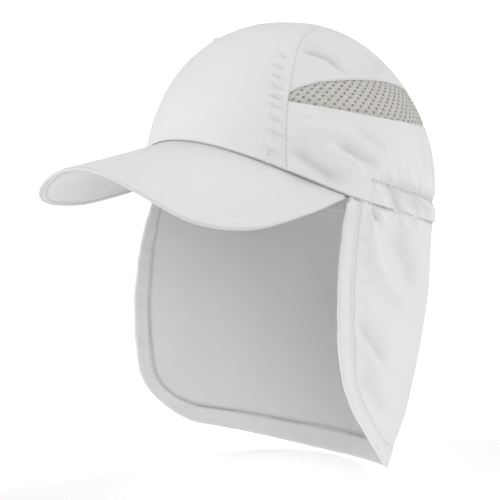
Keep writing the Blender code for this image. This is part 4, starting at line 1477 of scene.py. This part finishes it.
@dataclass
class Flap:
    """Neck flap: a sheet that hangs from the rim, with its hem turned to the inside."""

    form: CrownForm
    start: float = math.radians(68.6)
    length: float = 155.0 * MM
    back_lift: float = 5.0 * MM
    corner_left: float = 57.0 * MM
    corner_right: float = 32.0 * MM
    hem_side: float = 6.8 * MM
    hem_low: float = 11.0 * MM
    seam_gap: float = 0.6 * MM
    wall: float = 0.7 * MM
    hem_wall: float = 0.55 * MM
    tuck: float = 4.0 * MM
    tuck_depth: float = 1.9 * MM
    strip_start: float = 0.60 * MM
    back_shares: tuple = (0.948, 0.564)
    left_shares: tuple = (
        # half-width at the front edge, flare towards it, place of the front edge, squareness of the back
        (1.029, 0.48, -0.508, 1.00),
        (1.056, 0.23, -0.316, 0.90),
    )
    right_shares: tuple = (
        (1.041, 0.43, -0.498, 1.06),
        (1.014, 0.26, -0.375, 0.73),
    )
    fold_depth: float = 2.6 * MM
    folds: tuple = (
        # share round the flap, slant, width as a share of the flap, depth, from and to as shares of the length
        (0.240, -0.030, 0.035, 0.8, 0.05, 1.05),
        (0.360, 0.020, 0.040, -0.5, 0.10, 1.05),
        (0.620, -0.010, 0.045, 0.35, 0.10, 1.05),
        (0.780, 0.030, 0.040, -0.3, 0.05, 1.05),
        (0.900, -0.030, 0.035, 0.25, 0.10, 0.95),
    )
    creases: tuple = (
        # height and half width in mm, then places in mm round from the left front edge and down from the seam
        (3.4, 5.0, (14.5, 3.0), (16.5, 12.0), (18.0, 22.0), (21.0, 32.0), (28.0, 41.0), (38.0, 49.0),
         (62.0, 60.0)),
        (-3.3, 9.0, (34.0, 6.0), (44.0, 22.0), (56.0, 36.0), (66.0, 44.0)),
        (1.7, 5.0, (10.0, 48.0), (24.0, 63.0), (40.0, 80.0)),
        (-2.1, 4.0, (8.0, 62.0), (19.0, 76.7), (35.0, 94.0)),
        (2.5, 4.0, (8.5, 72.0), (19.5, 89.0), (34.0, 106.0)),
        (-1.4, 5.5, (9.0, 92.0), (20.0, 108.0), (36.0, 124.0)),
        (-2.2, 1.5, (15.6, 0.5), (17.0, 2.5), (20.2, 8.0)),
        (1.4, 1.8, (13.0, 1.0), (15.5, 8.0), (17.5, 16.0)),
        (1.5, 2.0, (19.2, 0.8), (23.0, 5.0), (29.0, 11.0)),
        (1.2, 2.0, (39.1, 0.6), (43.0, 3.5), (47.0, 9.0)),
        (1.2, 2.0, (53.9, 0.6), (59.0, 3.5), (64.0, 8.0)),
        (-0.5, 1.6, (6.6, 20.5), (17.0, 19.0)),
        (-0.5, 1.6, (6.6, 27.7), (17.5, 26.8)),
        (-0.45, 1.4, (6.6, 33.5), (16.0, 32.9)),
        (-0.5, 1.8, (6.6, 44.7), (20.0, 42.0)),
        (-0.4, 1.6, (6.6, 53.4), (15.5, 54.0)),
        (0.4, 7.0, (300.0, 60.0), (285.0, 100.0), (262.0, 128.0)),
        (0.9, 2.0, (346.0, 1.0), (342.0, 12.0)),
        (-0.9, 2.0, (341.0, 0.6), (337.0, 10.0)),
    )

    width: float = field(init=False)
    edge_path: Array = field(init=False)
    stitch_path: Array = field(init=False)
    lines: tuple[SewnLine, ...] = field(init=False)

    def __post_init__(self) -> None:
        """Measures the seam and plans the sewn lines in flat measure."""
        self.width = float(run_along(self.seam(np.linspace(0.0, 1.0, 241)))[-1])
        self.edge_path = self.free_edge(0.0)
        self.stitch_path = self.free_edge(-1.0 * MM, set_in=True)
        second_path = self.free_edge(1.2 * MM, set_in=True)
        flat_seam = np.array([[0.0, 0.0, 0.0], [self.width, 0.0, 0.0]])
        # the lines' shade is painted shade along the seam, the hem's stitching and the hem's inner edge
        self.lines = (
            SewnLine(flat_seam, groove=0.45 * MM, width=0.9 * MM, pucker=0.90 * MM, spacing=4.5 * MM,
                     reach=7.0 * MM, slant=0.4, shade=0.42, pitch=3.4 * MM, seed=81),
            SewnLine(self.edge_path, groove=0.30 * MM, width=0.5 * MM, pucker=0.45 * MM, spacing=7.0 * MM,
                     reach=4.5 * MM, seed=87),
            SewnLine(self.stitch_path, groove=0.40 * MM, width=0.6 * MM, pucker=0.40 * MM, spacing=5.0 * MM,
                     reach=6.0 * MM, shade=0.50, pitch=STITCH_PITCH, seed=91),
            SewnLine(second_path, groove=0.40 * MM, width=0.5 * MM, shade=0.45),
            *(fold(self.line(*places), height, width) for height, width, *places in self.creases),
        )

    def line(self, *places: tuple[float, float]) -> Array:
        """Path in flat measure through places in mm round and down."""
        spots = MM * between(places)
        return np.stack([spots[:, 0], spots[:, 1], 0.0 * spots[:, 0]], axis=1)

    def seam(self, share: Array) -> Array:
        """Top edge at shares from the left front edge round the back to the right one."""
        angle = self.start + (TURN - 2.0 * self.start) * share
        rim = self.form.worn(self.form.plain(angle, np.zeros_like(angle)))
        return rim - np.array([0.0, 0.0, self.seam_gap])

    def level(self, share: Array, level: int) -> tuple[Array, Array]:
        """Plan of the sheet at half depth (level 0) or at the hem (level 1)."""
        back = self.back_shares[level]
        left = share <= 0.5
        out = np.abs(1.0 - 2.0 * share)
        width, flare, front, square = (
            np.where(left, a, b) for a, b in zip(self.left_shares[level], self.right_shares[level])
        )
        side = np.where(left, 1.0, -1.0)
        x = side * self.form.half_width * width * ((1.0 + flare) * out - flare * out**3)
        y = self.form.back_length * (back + (front - back) * (square * out**2 + (1.0 - square) * out**4))
        return x, y

    def sheet(self, share: Array, depth: Array) -> Array:
        """Plain face; depth is a share of the flap's length below its seam."""
        seam = self.seam(share)
        top_part = (1.0 - depth) * (1.0 - 2.0 * depth)
        middle_part = 4.0 * depth * (1.0 - depth)
        low_part = depth * (2.0 * depth - 1.0)
        middle_x, middle_y = self.level(share, 0)
        low_x, low_y = self.level(share, 1)
        x = seam[..., 0] * top_part + middle_x * middle_part + low_x * low_part
        y = seam[..., 1] * top_part + middle_y * middle_part + low_y * low_part
        drop = self.length - self.back_lift * smooth_step(1.0 - np.abs(1.0 - 2.0 * share))
        return np.stack([x, y, seam[..., 2] - depth * drop], axis=-1)

    def normals(self, share: Array, depth: Array) -> Array:
        """Outward unit normals of the plain face."""
        step = 0.002
        inner = np.clip(share, step, 1.0 - step)
        around = self.sheet(inner + step, depth) - self.sheet(inner - step, depth)
        downward = self.sheet(share, depth + step) - self.sheet(share, depth - step)
        return unit(np.cross(downward, around))

    def end(self, across: Array) -> Array:
        """Depth of the hem at a share round the flap, whose lower corners are round."""
        end = np.full_like(across, self.length)
        corners = ((self.corner_left, across * self.width), (self.corner_right, (1.0 - across) * self.width))
        for radius, from_edge in corners:
            near = np.clip(radius - from_edge, 0.0, radius)
            end -= radius - np.sqrt(radius**2 - near**2)
        return end / self.length

    def free_edge(self, offset: float, set_in: bool = False) -> Array:
        """Path beside the free edge in flat measure; equal places of two such paths lie beside each other.

        Args:
            offset: distance in from the edge, or from the turned hem's inner edge.
            set_in: whether the path runs along the turned hem's inner edge.

        Returns:
            The path from the top of the left front edge round to the top of the right one.
        """
        side = offset + (self.hem_side if set_in else 0.0)
        low = offset + (self.hem_low if set_in else 0.0)
        turn = np.linspace(0.0, QUARTER, 30)
        left, right = (
            np.stack([side + (radius - side) * (1.0 - np.cos(turn)),
                      self.length - low - (radius - low) * (1.0 - np.sin(turn))], axis=1)
            for radius in (self.corner_left, self.corner_right)
        )
        right = ([self.width, 0.0] + right * [-1.0, 1.0])[::-1]
        knots = [np.array([[side, 0.0]]), left, right, np.array([[self.width - side, 0.0]])]
        parts = [knots[0]]
        for before, after, count in zip(knots[:-1], knots[1:], (50, 120, 60)):
            share = np.linspace(0.0, 1.0, count)[1:-1, None]
            parts += [before[-1] + (after[0] - before[-1]) * share, after]
        path = np.concatenate(parts)
        return np.concatenate([path, np.zeros((len(path), 1))], axis=1)

    def place(self, share: Array, depth: Array, inset: Array | float = 0.0) -> tuple[Array, Array]:
        """Places of the flap's outer face, set in by a distance, and their shade."""
        shape = share.shape
        share, depth = share.ravel(), depth.ravel()
        normals = self.normals(share, depth)
        relief = np.zeros_like(share)
        for place, slant, width, height, begin, end in self.folds:
            off = (share - place - slant * depth) / width
            ends = smooth_step((depth - begin) * 4.0) * smooth_step((end - depth) * 3.0 + 0.4)
            relief += height * self.fold_depth * ends * bump(off)
        to_edge = np.minimum(share, 1.0 - share) * self.width
        to_hem = (self.end(np.clip(share, 0.0, 1.0)) - depth) * self.length
        inside = (np.minimum(to_edge, to_hem) - self.hem_low) / (2.0 * self.hem_low)
        relief *= smooth_step(depth * 6.0) * smooth_step(inside)
        across, down = share * self.width, depth * self.length
        flat = np.stack([across, down, 0.0 * down], axis=1)
        shade = np.zeros_like(relief)
        for line in self.lines:
            raised, shaded = line.act(flat, np.broadcast_to([0.0, 0.0, 1.0], flat.shape))
            relief += raised
            shade = np.maximum(shade, shaded)
        inset = np.broadcast_to(inset, shape).ravel()
        points = self.sheet(share, depth) + normals * (relief - inset)[:, None]
        return points.reshape(*shape, 3), shade.reshape(shape)

    def panel(self) -> Cloth:
        """Flap from its hem up to its seam, and on behind the crown's rim."""
        left, right = self.corner_left / self.width, self.corner_right / self.width
        near = np.linspace(0.0, 1.0, 46) ** 1.5
        middle = np.linspace(left, 1.0 - right, round((1.0 - left - right) * self.width / (1.15 * MM)))
        share = np.concatenate([left * near[:-1], middle, (1.0 - right * near[:-1])[::-1]])[None, :]
        down = spaced(self.length, 1.15 * MM, (0.3 * MM, 0.7 * MM, 1.2 * MM))[:, None]
        depth = down * self.end(share)
        share = share + 0.0 * down
        hidden = np.array([-1.0, -0.6, -0.3, -0.12])[:, None] * self.tuck / self.length
        full_share = np.concatenate([share[:4], share])
        full_depth = np.concatenate([hidden + 0.0 * share[:4], depth])
        behind = smooth_step(-full_depth * self.length / (2.0 * MM))
        points, shade = self.place(full_share, full_depth, self.tuck_depth * behind)
        flat = np.stack([full_share * self.width, -full_depth * self.length], axis=-1)
        return Cloth("flap_panel", points[::-1], flat[::-1], shade[::-1])

    def hem(self) -> Cloth:
        """Cloth turned in along the front edges and the hem, wrapping the flap's edge."""
        run = run_along(self.edge_path)
        places = np.linspace(3.0 * MM, run[-1] - 3.0 * MM, 480)
        path = at_runs(self.edge_path, run, places)
        inner = at_runs(self.free_edge(0.0, set_in=True), run, places)
        width = np.linalg.norm(inner - path, axis=1)
        inward = (inner - path) / width[:, None]
        both = self.wall + self.hem_wall
        section = np.array([
            # distance in from the edge and depth under the flap's outer face, of the strip's outer side
            (-0.05 * MM, 0.22 * MM),
            (-0.35 * MM, 0.40 * MM),
            (-0.50 * MM, 0.70 * MM),
            (-0.45 * MM, 1.05 * MM),
            (-0.15 * MM, both + 0.02 * MM),
            (self.strip_start, both + 0.12 * MM),
        ])
        flat_in = np.linspace(0.15, 1.0, 10)[:, None] * (width - self.strip_start) + self.strip_start
        away = np.concatenate([section[:, :1] + 0.0 * width, flat_in])
        inset = np.append(section[:, 1], np.full(10, both + 0.15 * MM))[:, None] + 0.0 * width
        lifted = 0.35 * MM * np.clip(ripple(places, 14.0 * MM, 95), 0.0, 1.0)
        inset = inset + lifted * smooth_step((away - width + 3.0 * MM) / (3.0 * MM))
        flat = path[None] + inward[None] * away[..., None]
        points, shade = self.place(flat[..., 0] / self.width, flat[..., 1] / self.length, inset)
        uv = np.stack([places + 0.0 * away, away], axis=-1)
        # painted shadow along the turned hem's inner edge, as if it gaped there, stronger in random stretches
        slit_shadow_share = 0.25 + 0.75 * smooth_step(0.3 + 1.2 * ripple(places, 30.0 * MM, 97))
        free = 1.4 * slit_shadow_share * bump((away - width) / (0.6 * MM))
        return Cloth("flap_turned_hem", points, uv, np.maximum(shade, free))

    def stitches(self, material: bpy.types.Material) -> bpy.types.Object:
        """Row of stitches along the hem, on the outside and on the inside."""
        rows = Stitching("flap_stitches", Slot.FLAP)
        path = resample(self.stitch_path, MM)[3:-3]
        share, depth = path[:, 0] / self.width, path[:, 1] / self.length
        normals = self.normals(share, depth)
        outer, _ = self.place(share, depth, 0.03 * MM)
        inner, _ = self.place(share, depth, self.wall + self.hem_wall + 0.13 * MM)
        rows.row(outer, normals)
        rows.row(inner, -normals)
        return rows.build(material)

    def build(self, cloth: bpy.types.Material, thread: bpy.types.Material) -> None:
        panel = dress(self.panel().build(self.wall), cloth, "neck_flap")
        hem = dress(self.hem().build(self.hem_wall, 60.0), cloth, "flap_hem")
        rows = self.stitches(thread)
        log.info("flap: %.0f mm of seam", self.width / MM)


@dataclass(frozen=True)
class Studio:
    """Pale floor, soft lights and the camera of the photograph's view."""

    azimuth: float = math.radians(41.48)
    elevation: float = math.radians(10.02)
    distance: float = 1.0
    sensor: float = 36.0
    picture: float = 500.0
    pixels_per_metre: float = 1640.0
    origin_pixel: tuple[float, float] = (288.92, 198.28)
    floor_size: float = 30.0
    floor_gap: float = 1.5 * MM
    floor_glow: float = 0.34
    floor_uplight: float = 0.19
    floor_seen: float = 0.95
    floor_bounce: float = 0.92
    air: float = 0.06
    floor_tone: float = 0.004
    floor_roughness: float = 0.9
    floor_specular: float = 0.1
    light_distance: float = 1.6
    white: tuple[float, float, float, float] = (1.0, 1.0, 1.0, 1.0)
    lights: tuple[tuple[str, float, float, float, float], ...] = (
        # name, azimuth, elevation and spread in degrees, strength
        ("low_left_light", -60.0, 8.0, 40.0, 0.97),
        ("low_right_light", 60.0, 8.0, 40.0, 0.76),
        ("low_back_light", 150.0, 8.0, 40.0, 0.42),
        ("front_light", 30.0, 25.0, 40.0, 0.50),
        ("high_left_light", -30.0, 45.0, 40.0, 1.54),
        ("high_back_light", 150.0, 45.0, 40.0, 1.50),
    )

    def toward(self, azimuth: float, elevation: float) -> Vector:
        """Direction from the cap out to an azimuth from the forehead and an elevation."""
        level = math.cos(elevation)
        return Vector((math.sin(azimuth) * level, -math.cos(azimuth) * level, math.sin(elevation)))

    def camera(self) -> None:
        """Places the camera so that the origin comes to its pixel of the picture."""
        back = self.toward(self.azimuth, self.elevation)
        right = Vector((math.cos(self.azimuth), math.sin(self.azimuth), 0.0))
        up = back.cross(right)
        centre = 0.5 * self.picture
        aim = -right * (self.origin_pixel[0] - centre) + up * (self.origin_pixel[1] - centre)
        spot = aim / self.pixels_per_metre + back * self.distance
        bpy.ops.object.select_all(action="DESELECT")
        bpy.ops.object.camera_add()
        camera = bpy.context.object
        camera.name = "view_camera"
        camera.data.sensor_width = self.sensor
        camera.data.lens = self.pixels_per_metre * self.distance * self.sensor / self.picture
        turned = Matrix((right, up, back)).transposed().to_4x4()
        camera.matrix_world = Matrix.Translation(spot) @ turned
        bpy.context.scene.camera = camera

    def seen_and_lit(self, nodes: Nodes, seen: bpy.types.Node, lit: bpy.types.Node, end: str) -> None:
        """Shows one shader to the camera and another to the light that bounces."""
        path = nodes.add("ShaderNodeLightPath").outputs["Is Camera Ray"]
        mixed = nodes.add("ShaderNodeMixShader", i0=path, i1=lit.outputs[0], i2=seen.outputs[0])
        output = next(node for node in nodes.tree.nodes if node.bl_idname == end)
        nodes.tree.links.new(mixed.outputs[0], output.inputs["Surface"])

    def floor_material(self) -> bpy.types.Material:
        """White paper that looks evenly lit to the camera."""
        surface = Surface("floor_white", {})
        tone = surface.tone(self.floor_tone)
        lit = surface.add("ShaderNodeBsdfPrincipled")
        for shader, colour, glow in (
            (surface.shader, self.floor_seen, self.floor_glow),
            (lit, self.floor_bounce, self.floor_uplight),
        ):
            shader.inputs["Roughness"].default_value = self.floor_roughness
            shader.inputs["Specular IOR Level"].default_value = self.floor_specular
            shader.inputs["Emission Color"].default_value = self.white
            shader.inputs["Emission Strength"].default_value = glow
            surface.tree.links.new(surface.scaled((colour, colour, colour), tone), shader.inputs["Base Color"])
        self.seen_and_lit(surface, surface.shader, lit, "ShaderNodeOutputMaterial")
        return surface.material

    def floor(self) -> None:
        """Lays a pale floor just under the flap's hem."""
        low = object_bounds()[0].z - self.floor_gap
        bpy.ops.object.select_all(action="DESELECT")
        bpy.ops.mesh.primitive_plane_add(size=self.floor_size, location=(0.0, 0.0, low))
        floor = bpy.context.object
        floor.name = "studio_floor"
        bpy.ops.object.transform_apply(location=True)
        floor.data.materials.append(self.floor_material())
        floor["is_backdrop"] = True

    def light(self, name: str, azimuth: float, elevation: float, spread: float, strength: float) -> None:
        """Adds a far, broad and soft light that reaches the cap from a direction."""
        back = self.toward(math.radians(azimuth), math.radians(elevation))
        bpy.ops.object.select_all(action="DESELECT")
        bpy.ops.object.light_add(type="SUN", location=back * self.light_distance)
        lamp = bpy.context.object
        lamp.name = name
        lamp.data.angle = math.radians(spread)
        lamp.data.energy = strength
        lamp.rotation_mode = "QUATERNION"
        lamp.rotation_quaternion = (-back).to_track_quat("-Z", "Y")

    def air_round(self) -> None:
        """White background with faint light of its own."""
        world = bpy.data.worlds.new("studio_air")
        bpy.context.scene.world = world
        world.use_nodes = True
        nodes = Nodes(world.node_tree)
        seen = world.node_tree.nodes["Background"]
        seen.inputs["Color"].default_value = self.white
        lit = nodes.add("ShaderNodeBackground", Color=self.white, Strength=self.air)
        self.seen_and_lit(nodes, seen, lit, "ShaderNodeOutputWorld")

    def build(self) -> None:
        """Sets up the whole studio."""
        bpy.context.scene.view_settings.view_transform = "Standard"
        self.air_round()
        for light in self.lights:
            self.light(*light)
        self.floor()
        self.camera()
        log.info("studio: floor, lights and camera")


def main() -> None:
    """Builds the cap's pieces in order, then the studio round them."""
    logging.basicConfig(level=logging.INFO, format="%(name)s: %(message)s")
    form = CrownForm()
    thread = ThreadFinish().material()
    crown = Crown(form)
    crown.build(ClothFinish("crown_weave").material(), thread)
    vents = Vents(crown)
    knit = KnitFinish().material()
    vents.build(1, "vent_mesh_left", knit)
    vents.build(-1, "vent_mesh_right", knit)
    Peak(PeakForm(form)).build(ClothFinish("peak_weave").material(), thread)
    Flap(form).build(ClothFinish("flap_weave").material(), thread)
    Studio().build()


if __name__ == "__main__":
    main()
